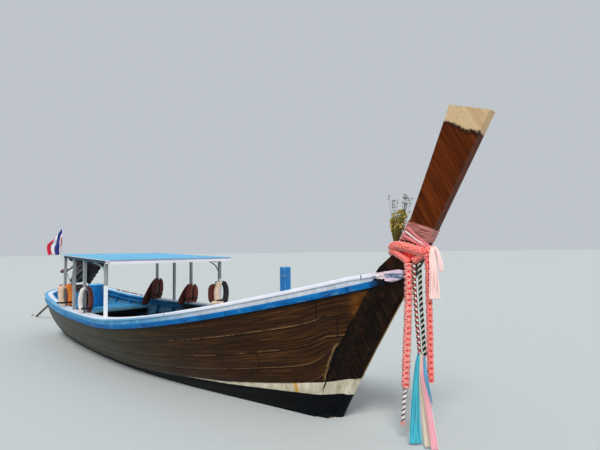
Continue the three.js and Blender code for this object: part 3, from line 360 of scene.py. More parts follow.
def painted(
    name, colour, dirt=srgb(70, 64, 54), under=srgb(120, 100, 78), roughness=0.5, wear=0.62, scale=6.0
):
    """Brushed paint: soft fading, run-down dirt, and chips that show what is under it."""
    look = Look(name, roughness)
    faded = look.noise(scale, 5)
    base = look.shade(colour, faded, 0.78, 1.12)
    streaks = look.noise(scale * 5, 5, 0.65, stretch=(1.0, 1.0, 0.16))
    base = look.mix(look.rise(streaks, 0.56, 0.82), base, dirt)
    chips = look.noise(scale * 9, 7, 0.7, 0.4)
    chipped = look.rise(chips, wear, wear + 0.03)
    base = look.mix(chipped, base, under)
    brush = look.noise(9.0, 3, stretch=(4.0, 4.0, 30.0))
    normal = look.bump(brush, 0.0015, 0.35)
    normal = look.bump(1.0 - chipped, 0.0012, 0.6, normal)
    return look.finish(base, normal, look.rise(chips, 0.1, 0.9))


def timber(name, dark, mid, light, grain=(1.4, 26.0, 26.0), boards=None):
    """Wood: the grain runs along the axis that grain stretches least; boards is their width across Y."""
    look = Look(name)
    fibres = look.noise(1.0, 7, 0.62, 0.35, stretch=grain)
    figure = look.noise(1.0, 3, 0.5, 1.2, stretch=[g * 0.25 for g in grain])
    both = fibres * 0.65 + figure * 0.35
    base = look.ramp(both, (0.32, dark), (0.5, mid), (0.68, light))
    normal = look.bump(fibres, 0.002, 0.5)
    if boards:
        across = look.parts(look.place)[1] / boards
        edge = look.sum("PINGPONG", across, 0.5)
        seam = look.fall(edge, 0.0, 0.035)
        plank = look.chance(look.sum("FLOOR", across))
        base = look.shade(base, plank, 0.72, 1.2)
        base = look.mix(seam, base, srgb(22, 16, 12))
        normal = look.bump(1.0 - seam, 0.004, 1.0, normal)
    stains = look.noise(3.0, 5, 0.6)
    base = look.shade(base, look.rise(stains, 0.3, 0.7), 0.72, 1.08)
    return look.finish(base, normal)


def metal(name, colour, rust=srgb(88, 48, 26), amount=0.55, roughness=0.5, metallic=0.8, scale=22.0):
    """Worked metal with oily dirt and patches of rust."""
    look = Look(name, roughness, metallic)
    patches = look.noise(scale, 7, 0.68, 0.5)
    rusty = look.rise(patches, amount, amount + 0.14)
    fine = look.noise(scale * 8, 4, 0.7)
    base = look.shade(colour, look.noise(scale * 0.5, 4), 0.62, 1.2)
    base = look.mix(rusty, base, look.ramp(fine, (0.3, [c * 0.5 for c in rust]), (0.7, rust)))
    normal = look.bump(fine, 0.0008, 0.5)
    normal = look.bump(rusty, 0.0008, 0.6, normal)
    rough = rusty * 0.35 + fine * 0.45
    bare = look.fall(patches, amount, amount + 0.14)
    return look.finish(base, normal, rough + 0.12, bare * metallic)


def woven(
    name, colour, light=1.25, dark=0.6, scale=420.0, sheen=0.25, roughness=0.9, stains=srgb(70, 60, 50)
):
    """Plain woven cloth: crossing threads, soft fading and a little dirt."""
    look = Look(name, roughness, sheen=sheen, specular=0.2)
    x, y, z = look.parts(look.place)
    level = z * scale
    side = (x + y) * scale
    threads = look.sum("SINE", level) * look.sum("SINE", side)
    patches = look.noise(7.0, 5, 0.6)
    base = look.shade(colour, patches, dark, light)
    base = look.mix(look.rise(look.noise(16.0, 6, 0.7), 0.58, 0.8), base, stains)
    creases = look.noise(24.0, 4, 0.6, stretch=(1.0, 1.0, 0.4))
    normal = look.bump(creases, 0.004, 0.5)
    normal = look.bump(threads, 0.0006, 0.5, normal)
    return look.finish(base, normal)


# Shapes


def add_mesh(name, points, faces, body, looks, smooth=True, replaces=(), closed=True, slot=None):
    """A piece made from points and faces. looks is one material or a list of them."""
    mesh = bpy.data.meshes.new(name)
    mesh.from_pydata([tuple(map(float, p)) for p in points], [], [tuple(map(int, f)) for f in faces])
    if closed:
        built = bmesh.new()
        built.from_mesh(mesh)
        bmesh.ops.recalc_face_normals(built, faces=built.faces)
        built.to_mesh(mesh)
        built.free()
    mesh.update()
    for look in looks if isinstance(looks, (list, tuple)) else [looks]:
        mesh.materials.append(look)
    mesh.polygons.foreach_set("use_smooth", [smooth] * len(mesh.polygons))
    piece = bpy.data.objects.new(name, mesh)
    bpy.context.scene.collection.objects.link(piece)
    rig.ride(piece, body)
    if replaces:
        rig.replaces(piece, *replaces)
    if slot:
        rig.slot(piece, slot)
    return piece


def add_layer(piece, name, values):
    """A UV layer from one pair of numbers for each point."""
    mesh = piece.data
    layer = mesh.uv_layers.new(name=name)
    corners = np.empty(len(mesh.loops), np.int32)
    mesh.loops.foreach_get("vertex_index", corners)
    layer.data.foreach_set("uv", np.asarray(values, np.float32)[corners].ravel())


def around(count):
    """Angles spaced evenly round a circle."""
    return [2 * math.pi * k / count for k in range(count)]


def grid_faces(rows, columns, start=0, wrap=False):
    """Faces between rows of points, numbered from start; wrap joins the last column to the first."""
    faces = []
    for i in range(rows - 1):
        for j in range(columns if wrap else columns - 1):
            a, b = start + i * columns + j, start + i * columns + (j + 1) % columns
            faces.append((a, b, b + columns, a + columns))
    return faces


def sheet_faces(rows, columns, wrap=False):
    """A thin sheet's faces in four lists: front, back, end rows and side columns."""
    half = rows * columns
    front = grid_faces(rows, columns, 0, wrap)
    back = [(half + a, half + d, half + c, half + b) for a, b, c, d in front]
    ends, sides = [], []
    for j in range(columns if wrap else columns - 1):
        for first in (0, half - columns):
            a, b = first + j, first + (j + 1) % columns
            ends.append((a, half + a, half + b, b))
    if not wrap:
        for i in range(rows - 1):
            for a in (i * columns, (i + 1) * columns - 1):
                sides.append((a, half + a, half + a + columns, a + columns))
    return front, back, ends, sides


def tube(rings, start=0):
    """A closed tube through rings of the same number of points, numbered from start."""
    count = len(rings[0])
    last = start + (len(rings) - 1) * count
    faces = grid_faces(len(rings), count, start, wrap=True)
    faces.append(tuple(range(start, start + count))[::-1])
    faces.append(tuple(range(last, last + count)))
    return [p for ring in rings for p in ring], faces


def hoop(rings):
    """Rings of the same number of points, each joined to the next and the last to the first."""
    count = len(rings[0])
    faces = []
    for i in range(len(rings)):
        m = (i + 1) % len(rings)
        for j in range(count):
            k = (j + 1) % count
            faces.append((i * count + j, i * count + k, m * count + k, m * count + j))
    return [p for ring in rings for p in ring], faces


def spline(points, count):
    """Points spaced evenly along a smooth curve through the given ones."""
    given = np.array(points, float)
    ends = np.vstack([2 * given[0] - given[1], given, 2 * given[-1] - given[-2]])
    fine = []
    for a, b, c, d in zip(ends, ends[1:], ends[2:], ends[3:]):
        for t in np.linspace(0, 1, 24, endpoint=False):
            square = 2 * a - 5 * b + 4 * c - d
            cube = 3 * b - a - 3 * c + d
            fine.append(0.5 * (2 * b + (c - a) * t + square * t**2 + cube * t**3))
    fine.append(given[-1])
    fine = np.array(fine)
    run = np.concatenate([[0], np.cumsum(np.linalg.norm(np.diff(fine, axis=0), axis=1))])
    want = np.linspace(0, run[-1], count)
    return np.column_stack([np.interp(want, run, fine[:, i]) for i in range(fine.shape[1])])


def length_of(points):
    return float(np.linalg.norm(np.diff(np.asarray(points)[:, :3], axis=0), axis=1).sum())


def frames_along(line):
    """For each point of a line, two directions square to it that don't twist."""
    line = np.asarray(line, float)
    ahead = np.gradient(line, axis=0)
    ahead /= np.linalg.norm(ahead, axis=1)[:, None]
    first = np.array((1.0, 0, 0)) if abs(ahead[0][0]) < 0.9 else np.array((0, 1.0, 0))
    sides = []
    for direction in ahead:
        first = first - direction * first.dot(direction)
        first = first / np.linalg.norm(first)
        sides.append((first, np.cross(direction, first)))
    return sides


def rope_mesh(line, radius_at, sides=14):
    """Rings round a line; radius_at gives the radius from the run along it and the angle round it."""
    run = np.concatenate([[0], np.cumsum(np.linalg.norm(np.diff(line, axis=0), axis=1))])
    rings = []
    layer = []
    for centre, (u, v), s in zip(line, frames_along(line), run):
        ring = []
        for a in around(sides):
            r = radius_at(s, a)
            ring.append(centre + r * (math.cos(a) * u + math.sin(a) * v))
            layer.append((a / (2 * math.pi), s))
        rings.append(ring)
    points, faces = tube(rings)
    return points, faces, layer


# The hull's lines, as the CAD part has them, in metres

TRANSOM_X = -4.55
PLANK = 0.03
BOARD_INNER = 0.0606
CAP_TO_PLANKS = 0.0466
SIDES = (("port", 1), ("starboard", -1))


def lerp(a, b, t):
    return a + (b - a) * t


def clamp(v, low, high):
    return min(high, max(low, v))


def smooth(low, high, v):
    t = clamp((v - low) / (high - low), 0.0, 1.0)
    return t * t * (3 - 2 * t)


def gunwale(x):
    if x > 0.2:
        return 1.25 * (1 - clamp((x - 0.2) / 5.0, 0, 1) ** 1.9)
    aft = (0.2 - x) / 5.2
    turned = clamp((0.7 - (x + 5.0)) / 0.7, 0, 1)
    return 1.25 * (1 - 0.38 * aft * aft) * math.sqrt(1 - turned * turned)


def cap_top(x):
    bow = clamp((x + 0.4) / 5.44, 0, 2)
    stern = clamp((-1.2 - x) / 3.43, 0, 2)
    return 0.88 + 0.925 * bow**1.5 + 0.165 * stern**3.2


def keel_line(x):
    aft = clamp(-x / 4.55, 0, 1)
    foot = clamp((x - 3.5) / 0.75, 0, 1)
    return -0.33 + 0.15 * aft**2.2 + 0.28 * foot**4.78


def hull_point(x, t, depth=0.0):
    """(y, z) of the hull's section at x: t runs from 0 at the keel to 1 under the cap, depth inwards."""
    top = cap_top(x) - CAP_TO_PLANKS
    low = keel_line(x)
    bow = smooth(1.5, 4.6, x)
    fullness = lerp(1.38, 1.3, bow)
    rise = lerp(1.6, 1.3, bow)
    edge = BOARD_INNER + PLANK * lerp(0.35, 1, smooth(1.8, 3.4, x))
    wide = max(gunwale(x) - 0.02, edge + 0.001)

    def at(s):
        return edge + (wide - edge) * (1 - (1 - s) ** fullness), low + (top - low) * s**rise

    y, z = at(t)
    if not depth:
        return y, z
    y0, z0 = at(max(0.0, t - 0.01))
    y1, z1 = at(min(1.0, t + 0.01))
    length = math.hypot(y1 - y0, z1 - z0)
    inner = y - depth * (z1 - z0) / length, z + depth * (y1 - y0) / length
    return max(inner[0], BOARD_INNER), z if t == 1 else min(inner[1], top)


def planks_reach(t):
    """Where the line of constant t meets the raked ends of the planks."""
    foot_x, foot_z, slope = 4.12, 0.3, 1.95
    low, high = 3.0, 5.0
    for _ in range(40):
        x = (low + high) / 2
        if x < foot_x + (hull_point(x, t)[1] - foot_z) / slope:
            low = x
        else:
            high = x
    return low


def stem_front(z):
    """The stem's front edge at a height, which is a number or a material's value."""
    return 4.25 + (z + 0.05) / 1.7849


# Upper and lower edge of the cream stripe, as heights along the hull
STRIPE_TOP = [
    (1.7, 0.165), (1.816, 0.178), (2.712, 0.244), (3.437, 0.339), (4.059, 0.436), (4.579, 0.516), (5.2, 0.6)
]
STRIPE_LOW = [
    (1.7, 0.175), (1.816, 0.178), (2.698, 0.212), (3.409, 0.254), (3.834, 0.28), (4.203, 0.299),
    (4.469, 0.304), (5.2, 0.32)
]
# Aft of the stripe the dark bottom paint meets the varnish on this line
BOTTOM_TOP = [(-4.6, 0.16), (-3.0, 0.09), (-1.0, 0.06), (0.5, 0.09), (1.7, 0.17)]


def stripe_edges(x):
    if x < 1.75:
        level = float(np.interp(x, *zip(*BOTTOM_TOP)))
        return level, level
    return float(np.interp(x, *zip(*STRIPE_TOP))), float(np.interp(x, *zip(*STRIPE_LOW)))


# Where yellow paint has run down the stripe
YELLOW_RUN_X = 3.795

# Hull materials

# Half the width over which one paint gives way to the next
EDGE = 0.002


def band_paints(look):
    """The cream stripe's and the navy bottom's paint, the stripe's dirt, and how their edges waver."""
    wavy = (look.noise(9.0, 4) - 0.5) * 0.012
    dirt = look.noise(14.0, 6, 0.7, stretch=(1.0, 1.0, 0.3))
    cream = look.ramp(
        dirt, (0.35, srgb(226, 218, 196)), (0.6, srgb(196, 184, 156)), (0.8, srgb(120, 104, 80))
    )
    faded = look.noise(5.0, 6, 0.7)
    navy = look.ramp(faded, (0.3, srgb(1, 2, 6)), (0.6, srgb(3, 7, 13)), (0.85, srgb(14, 18, 20)))
    return cream, navy, dirt, wavy


def hull_wood():
    """Varnished planks: seams, butts and nails, worn edges with painted highlight and shade, paler and weathered aft;
    painted bands.
    """
    look = Look("hull_planks", 0.5, specular=0.1)
    along, plank, _ = look.layer("Planks")
    above_top, above_low, _ = look.layer("Lines")
    _, _, height = look.parts(look.place)
    drop, share, _ = look.layer("Drop")
    number = look.sum("FLOOR", plank)
    across = plank - number
    own = look.chance(number)
    grain_place = look.joined(along * 1.3, plank * 9.0, number)
    grain = look.noise(1.6, 8, 0.66, 0.3, at=grain_place)
    cloud = look.noise(0.9, 5, 0.6, at=look.joined(along, plank, number))
    varnish = look.ramp(
        grain,
        (0.28, srgb(20, 10, 4)),
        (0.46, srgb(46, 26, 11)),
        (0.6, srgb(74, 45, 19)),
        (0.78, srgb(112, 74, 36)),
    )
    weathered = look.ramp(
        grain,
        (0.28, srgb(18, 18, 5)),
        (0.5, srgb(42, 41, 15)),
        (0.75, srgb(78, 73, 34)),
    )
    aft = look.fall(along + cloud * 2.2, 0.2, 3.6)
    wood = look.mix(aft, varnish, weathered)
    wood = look.shade(wood, own, 0.75, 1.22)
    wood = look.shade(wood, look.rise(cloud, 0.3, 0.7), 0.72, 1.12)
    # Each plank's lower edge worn pale, which also serves as a painted highlight; painted shade along its top edge,
    # under the next strake; then the dark seam itself
    near_edge = look.sum("PINGPONG", across, 0.5)
    ragged = look.noise(2.0, 3, 0.6, at=look.joined(along * 1.1, number * 3.7, 0.0))
    fine = look.noise(3.0, 5, 0.7, at=look.joined(along * 6.0, plank * 2.0, 0.0))
    above_seam = look.both(look.rise(across, 0.0, 0.03), look.fall(across, 0.035, 0.1))
    worn = look.both(above_seam, look.rise(ragged, 0.42, 0.56), look.rise(fine, 0.3, 0.5))
    wood = look.mix(worn * 0.8, wood, srgb(150, 112, 70))
    # Painted shade under the seam above
    shade_below_seam = look.rise(across, 0.9, 1.0)
    wood = look.shade(wood, shade_below_seam, 1.0, 0.5)
    seam = look.fall(near_edge, 0.008, 0.03)
    wood = look.mix(seam, wood, srgb(10, 6, 4))
    # Butt joints, one every few metres of plank, at a place of its own
    shifted = along + own * 3.1
    butt_near = look.sum("PINGPONG", shifted, 1.55)
    butt = look.fall(butt_near, 0.003, 0.009)
    wood = look.mix(butt, wood, srgb(22, 13, 10))
    # The planks' raked ends at the stem: a dark gap, and pale broken wood before it
    to_end = (1.0 - share) * 9.0
    broken = look.noise(2.4, 5, 0.7, at=look.joined(along * 5.0, plank * 1.6, 2.0))
    ragged_end = to_end + (broken - 0.5) * 0.07
    chewed = look.both(look.rise(height, 0.46, 0.54), look.fall(height, 0.86, 0.96))
    pale_end = look.both(look.fall(ragged_end, 0.075, 0.105), look.rise(broken, 0.4, 0.5), chewed)
    wood = look.mix(pale_end * 0.75, wood, srgb(146, 118, 76))
    crack = 0.022 + look.both(chewed, look.rise(broken, 0.36, 0.56)) * 0.045
    gap = look.fall(ragged_end - crack, -0.004, 0.006)
    wood = look.mix(gap, wood, srgb(8, 5, 4))
    # Nails in pairs at each frame
    frame_near = look.sum("PINGPONG", along + 4.2, 0.3085)
    nail_across = abs(near_edge - 0.2)
    nail = look.both(look.fall(frame_near, 0.006, 0.012), look.fall(nail_across, 0.03, 0.06))
    wood = look.mix(nail * 0.75, wood, srgb(24, 15, 12))
    # Scuffs and pale scratches
    scuffs = look.noise(6.0, 7, 0.8, at=look.joined(along * 3.0, plank * 2.2, 4.0))
    wood = look.mix(look.rise(scuffs, 0.64, 0.74) * 0.6, wood, srgb(128, 92, 56))
    stain = look.both(
        look.rise(along, 4.5, 4.66), look.fall(along, 4.78, 4.86), look.rise(height, 1.1, 1.3),
        look.fall(height, 1.5, 1.62)
    )
    blotch = look.noise(7.0, 6, 0.7)
    wood = look.mix(look.both(stain, look.rise(blotch, 0.3, 0.62), 0.6), wood, srgb(128, 74, 14))
    # Painted bands
    cream, navy, stripe_dirt, wavy = band_paints(look)
    in_stripe = look.fall(above_top + wavy, -EDGE, EDGE)
    in_navy = look.fall(above_low + wavy, -EDGE, EDGE)
    in_band = look.fall(drop, 0.106, 0.109)
    white_dirt = look.noise(10.0, 6, 0.7, stretch=(1.0, 1.0, 0.3))
    white = look.ramp(
        white_dirt, (0.35, srgb(222, 227, 232)), (0.6, srgb(196, 202, 208)), (0.82, srgb(128, 124, 118))
    )
    run_near = abs(along - YELLOW_RUN_X)
    run = look.fall(run_near + stripe_dirt * 0.05, 0.042, 0.058)
    cream = look.mix(run * 0.85, cream, srgb(206, 150, 30))
    cream = look.mix(look.both(gap, look.rise(height, 0.34, 0.4)), cream, srgb(20, 14, 10))
    base = look.mix(in_stripe, wood, cream)
    base = look.mix(in_navy, base, navy)
    blue_band = look.ramp(
        white_dirt, (0.35, srgb(112, 184, 222)), (0.6, srgb(76, 150, 198)), (0.82, srgb(70, 100, 120))
    )
    forward = look.rise(along + white_dirt, 1.6, 3.6)
    base = look.mix(in_band, base, look.mix(forward, blue_band, white))
    # Shade under the rub rail, where dirt gathers
    under = look.both(look.rise(drop, 0.165, 0.176), look.fall(drop, 0.176, 0.225))
    base = look.mix(under * 0.7, base, srgb(18, 12, 10))
    normal = look.bump(grain, 0.0015, 0.5)
    normal = look.bump(1.0 - look.sum("MAXIMUM", seam, butt), 0.002, 0.6, normal)
    painted_share = look.sum("MAXIMUM", in_navy, in_band)
    rough = grain * 0.35 + painted_share * 0.15
    return look.finish(base, normal, rough + 0.22)


def stem_wood():
    """Varnished timber with its grain up the stem, bare and chewed at the head, painted below the stripe."""
    look = Look("stem_timber", 0.45, specular=0.1)
    rake = math.atan2(1.86, 3.32)
    turned = look.stretched((1.0, 1.0, 1.0), (0, rake, 0))
    across, side, up = look.parts(turned)
    x, y, z = look.parts(look.place)
    grain_place = look.joined(across * 16.0, side * 16.0, up * 1.1)
    grain = look.noise(1.6, 8, 0.64, 0.5, at=grain_place)
    figure = look.noise(0.4, 4, 0.55, 1.6, at=grain_place)
    varnish = look.ramp(
        grain * 0.7 + figure * 0.3,
        (0.3, srgb(40, 13, 0)),
        (0.45, srgb(76, 28, 0)),
        (0.58, srgb(102, 43, 3)),
        (0.75, srgb(134, 64, 14)),
    )
    low_wood = look.ramp(grain, (0.3, srgb(8, 4, 1)), (0.5, srgb(24, 13, 6)), (0.8, srgb(60, 34, 15)))
    mottled = look.noise(7.0, 6, 0.72, 0.6)
    low_wood = look.shade(low_wood, look.rise(mottled, 0.34, 0.66), 0.6, 1.5)
    wood = look.mix(look.fall(z, 1.75, 2.2), varnish, low_wood)
    # Bare wood at the head: ragged, pale, dark along its border
    ragged = look.noise(9.0, 6, 0.7)
    head = x * 0.489 + z * 0.872
    edge_place = head + (ragged - 0.5) * 0.16
    bare = look.rise(edge_place, 5.60, 5.615)
    border = look.both(look.rise(edge_place, 5.55, 5.6), look.fall(edge_place, 5.6, 5.63))
    specks = look.rise(look.noise(46.0, 5, 0.7), 0.6, 0.68)
    tan = look.ramp(grain, (0.3, srgb(196, 160, 116)), (0.6, srgb(222, 192, 150)), (0.85, srgb(168, 128, 88)))
    tan = look.mix(specks * 0.7, tan, srgb(96, 62, 38))
    wood = look.mix(bare, wood, tan)
    wood = look.mix(border * 0.85, wood, srgb(44, 22, 12))
    front = stem_front(z) - x
    narrow = look.fall(abs(y), 0.0132, 0.0145)
    hewn = look.both(narrow, look.fall(front, 0.06, 0.1), look.fall(z, 1.35, 1.6))
    ochre = look.ramp(grain, (0.3, srgb(120, 92, 50)), (0.6, srgb(170, 138, 84)), (0.85, srgb(96, 70, 40)))
    wood = look.mix(look.both(hewn, look.rise(mottled, 0.3, 0.42), 0.9), wood, ochre)
    cream, navy, _, wavy = band_paints(look)
    stripe_top = (x - 4.203) * 0.155 + 0.459
    stripe_low = (x - 4.203) * 0.02 + 0.299
    level = z + wavy
    in_stripe = look.fall(level - stripe_top, -EDGE, EDGE)
    in_navy = look.fall(level - stripe_low, -EDGE, EDGE)
    base = look.mix(in_stripe, wood, cream)
    base = look.mix(in_navy, base, navy)
    bald = look.both(look.fall(z + ragged * 0.12, 0.0, 0.05), look.rise(x, 4.0, 4.08))
    base = look.mix(bald, base, srgb(190, 146, 70))
    normal = look.bump(grain, 0.002, 0.55)
    normal = look.bump(bare, -0.004, 0.8, normal)
    rough = bare * 0.4 + grain * 0.3
    return look.finish(base, normal, rough + 0.2)


LOOKS = {
    "hull": hull_wood(),
    "stem": stem_wood(),
    "bottom": painted("bottom_paint", NAVY, srgb(46, 48, 44), srgb(70, 60, 48), 0.7, 0.66),
    "white": painted("white_paint", WHITE_PAINT, srgb(120, 116, 108), srgb(150, 128, 100), 0.5, 0.66),
    "pale_blue": painted("pale_blue_paint", PALE_BLUE, srgb(56, 74, 84), srgb(120, 104, 84), 0.5, 0.62),
    "deck": timber("deck_boards", srgb(72, 52, 36), srgb(120, 92, 66), srgb(160, 130, 98), boards=0.14),
    "pedestal": timber(
        "pedestal_timber", srgb(52, 34, 22), srgb(92, 64, 42), srgb(128, 96, 66), (26.0, 26.0, 1.6)
    ),
    "iron": metal("painted_iron", srgb(46, 48, 50), amount=0.5, roughness=0.6, metallic=0.5),
    "engine": metal("engine_iron", srgb(60, 66, 70), amount=0.56, roughness=0.5, metallic=0.55),
    "steel": metal("bright_steel", srgb(150, 152, 154), amount=0.6, roughness=0.3, metallic=0.9),
    "rust": metal("rusty_pipe", srgb(104, 66, 44), amount=0.42, roughness=0.75, metallic=0.4),
    "rubber": metal("belt_rubber", srgb(26, 27, 29), srgb(50, 46, 42), 0.66, 0.8, 0.05),
    "bronze": metal("propeller_bronze", srgb(156, 118, 62), srgb(70, 92, 72), 0.58, 0.3, 0.9),
}


# Hull pieces


# Seams between strakes, as shares of the section from the keel to the cap
BOTTOM_SEAMS = [0.0, 0.11, 0.21, 0.315, 0.42]
SIDE_SEAMS = [0.4204, 0.505, 0.61, 0.712, 0.83, 0.955, 1.0]
# Share of a strake's width that is eased at each edge
EASE = 0.035


def seam_lines(seams, first):
    """(t, depth, strake number with its fraction) for each row of points across the planks."""
    lines = []
    for k, (a, b) in enumerate(zip(seams, seams[1:])):
        for f, depth in ((0.0, 0.0035), (EASE, 0.0003), (0.5, -0.0008), (1 - EASE, 0.0003)):
            lines.append((lerp(a, b, f), depth, first + k + f))
    lines.append((seams[-1], 0.0, first + len(seams) - 1.001))
    return lines


def planks(name, side, seams, first, node, looks):
    """Strakes from the transom to the stem, each with eased edges, so that a groove lies between two."""
    stations = 120
    lines = seam_lines(seams, first)
    reach_of = {t: planks_reach(t) for t, _, _ in lines}
    outer, inner = [], []
    strakes, edges, drops = [], [], []
    for i in range(stations + 1):
        u = i / stations
        for t, depth, number in lines:
            x = lerp(TRANSOM_X, reach_of[t], u)
            y, z = hull_point(x, t, depth)
            outer.append((x, side * y, z))
            top, low = stripe_edges(x)
            strakes.append((x, number + 0.0001))
            edges.append((z - top, z - low))
            drops.append((cap_top(x) - z, u))
            yi, zi = hull_point(x, t, PLANK)
            inner.append((x, side * yi, zi))
    front, back, ends, sides = sheet_faces(stations + 1, len(lines))
    # The edges show the inside's paint, except at the stem, where they show the hull's
    inside = [0] * len(front) + [1] * len(back) + [1, 0] * (len(ends) // 2) + [1] * len(sides)
    faces = front + back + ends + sides
    piece = add_mesh(name, outer + inner, faces, "hull", looks, replaces=[node])
    piece.data.polygons.foreach_set("material_index", inside)
    add_layer(piece, "Planks", strakes + strakes)
    add_layer(piece, "Lines", edges + edges)
    add_layer(piece, "Drop", drops + drops)
    sharpen(piece, 40)
    return piece


def sharpen(piece, degrees):
    """Smooth shading that keeps edges sharper than this angle."""
    built = bmesh.new()
    built.from_mesh(piece.data)
    limit = math.radians(degrees)
    for edge in built.edges:
        if len(edge.link_faces) == 2 and edge.calc_face_angle(0) > limit:
            edge.smooth = False
    built.to_mesh(piece.data)
    built.free()


def build_hull():
    for name, side in SIDES:
        inside = LOOKS["inside"]
        planks(
            f"bottom_strakes_{name}", side, BOTTOM_SEAMS, 0, f"bottom_planking_{name}",
            [LOOKS["hull"], inside]
        )
        planks(f"side_strakes_{name}", side, SIDE_SEAMS, 4, f"side_planking_{name}", [LOOKS["hull"], inside])


def inside_paint():
    """Pale blue paint inside the planking, giving way in streaks to dark wood, more so towards the bilge."""
    look = Look("inside_paint", 0.6)
    _, _, z = look.parts(look.place)
    streaks = look.noise(1.5, 6, 0.7, stretch=(3.0, 1.0, 20.0))
    paint = look.shade(srgb(92, 160, 200), look.noise(4.0, 5), 0.7, 1.12)
    wood = look.ramp(streaks, (0.3, srgb(34, 24, 18)), (0.7, srgb(84, 62, 44)))
    # More dark wood lower down, towards the bilge
    wear = streaks + look.fall(z, 0.1, 0.75) * 0.35
    base = look.mix(look.rise(wear, 0.56, 0.66), paint, wood)
    return look.finish(base, look.bump(streaks, 0.002, 0.6))


LOOKS["inside"] = inside_paint()
build_hull()

# Gunwale caps and rub rails, rounded along their edges, and the boards that end them beside the stem


def in_from_edge(x, inset):
    if x <= -4.999:
        return -5.0 + inset, 0.0
    slope = (gunwale(x + 0.002) - gunwale(x - 0.002)) / 0.004
    length = math.hypot(1, slope)
    return x + slope * inset / length, gunwale(x) - inset / length


def room_at(x, z):
    line = [hull_point(x, i / 24) for i in range(25)]
    for (y0, z0), (y1, z1) in zip(line, line[1:]):
        if z0 <= z <= z1:
            return lerp(y0, y1, (z - z0) / ((z1 - z0) or 1))
    return line[24][0]


def skin_inset(x, drop):
    at = max(x, TRANSOM_X)
    slope = (gunwale(at + 0.002) - gunwale(at - 0.002)) / 0.004
    return (gunwale(at) - room_at(at, cap_top(at) - drop)) / math.hypot(1, slope)


def rounded(width, height, radius, steps=3):
    """Corners of a rounded rectangle from (0, 0) to (width, height), going round."""
    corners = (
        (radius, radius, 180), (width - radius, radius, 270), (width - radius, height - radius, 0),
        (radius, height - radius, 90)
    )
    outline = []
    for cx, cy, start in corners:
        for k in range(steps + 1):
            a = math.radians(start + 90 * k / steps)
            outline.append((cx + radius * math.cos(a), cy + radius * math.sin(a)))
    return outline


def edge_strip(name, side, front, section, place, node, look, slot):
    """A strip along the gunwale: place turns (inset, drop) corners of its section into points."""
    turn = [-5.0 + 0.7 * (1 - math.cos(a)) for a in np.linspace(0, math.pi / 2, 30)]
    stations = turn + list(np.linspace(-4.3, front, 120))[1:]
    rings, layer = [], []
    for x in stations:
        ring = []
        for inset, drop in section:
            px, py, pz = place(x, inset, drop)
            ring.append((px, side * py, pz))
            layer.append((inset * 10, drop * 10))
        rings.append(ring)
    points, faces = tube(rings)
    piece = add_mesh(name, points, faces, "hull", look, replaces=[node], slot=slot)
    add_layer(piece, "Cap", layer)
    sharpen(piece, 50)
    return piece


# The stem's side, where the caps and rails stop
STEM_SIDE = 0.0607


def cap_place(x, inset, drop):
    px, py = in_from_edge(x, inset)
    return px, max(py, STEM_SIDE if px > 3 else 0.0003), cap_top(px) - drop - 0.02 * smooth(4.5, 4.87, px)


def rail_place(x, inset, drop):
    at = skin_inset(x, 0.105 + drop) - 0.024 + inset - 0.012 * smooth(4.6, 4.9, x)
    px, py = in_from_edge(x, at)
    return px, max(py, STEM_SIDE if px > 3 else 0.0003), cap_top(px) - 0.105 - drop


def cap_look():
    """White deck paint with a seam drawn as a grey-blue line of painted shade, scuffs, pale blue outboard aft, worn
    pink at the bow.
    """
    look = Look("cap_paint", 0.5, specular=0.3)
    inset, drop, _ = look.layer("Cap")
    x, _, _ = look.parts(look.place)
    dirt = look.noise(9.0, 6, 0.68, stretch=(0.5, 1.0, 1.0))
    white = look.ramp(
        dirt, (0.36, srgb(244, 244, 252)), (0.6, srgb(228, 230, 242)), (0.86, srgb(164, 164, 172))
    )
    blue = look.ramp(dirt, (0.34, srgb(120, 190, 226)), (0.58, srgb(84, 164, 210)), (0.8, srgb(84, 112, 126)))
    aft = look.fall(x + dirt * 1.2, -2.6, -0.6)
    outer = look.fall(inset + dirt * 0.2, 0.78, 0.84)
    base = look.mix(look.both(aft, outer), white, blue)
    face = look.both(look.rise(drop, 0.12, 0.18), look.fall(x + dirt, 1.2, 3.4))
    base = look.mix(face, base, blue)
    inner = look.rise(inset, 1.5, 1.58)
    base = look.mix(look.both(aft, inner), base, blue)
    # A seam, drawn as a thin grey-blue line of painted shade
    seam = look.both(look.rise(inset, 0.55, 0.56), look.fall(inset, 0.575, 0.585), look.rise(x, -2.0, -1.0))
    base = look.mix(seam * 0.3, base, srgb(150, 162, 186))
    joint = look.fall(look.sum("PINGPONG", x + 0.9, 1.4), 0.003, 0.008)
    base = look.mix(joint, base, srgb(92, 90, 88))
    bow = look.rise(x + dirt * 0.3, 4.9, 5.05)
    base = look.mix(bow * 0.75, base, srgb(206, 176, 196))
    chips = look.noise(30.0, 7, 0.75)
    chipped = look.rise(chips, 0.67, 0.69)
    base = look.mix(chipped, base, srgb(140, 120, 100))
    normal = look.bump(look.noise(4.0, 4, stretch=(2.0, 20.0, 20.0)), 0.002, 0.4)
    return look.finish(base, look.bump(1.0 - chipped, 0.001, 0.6, normal))


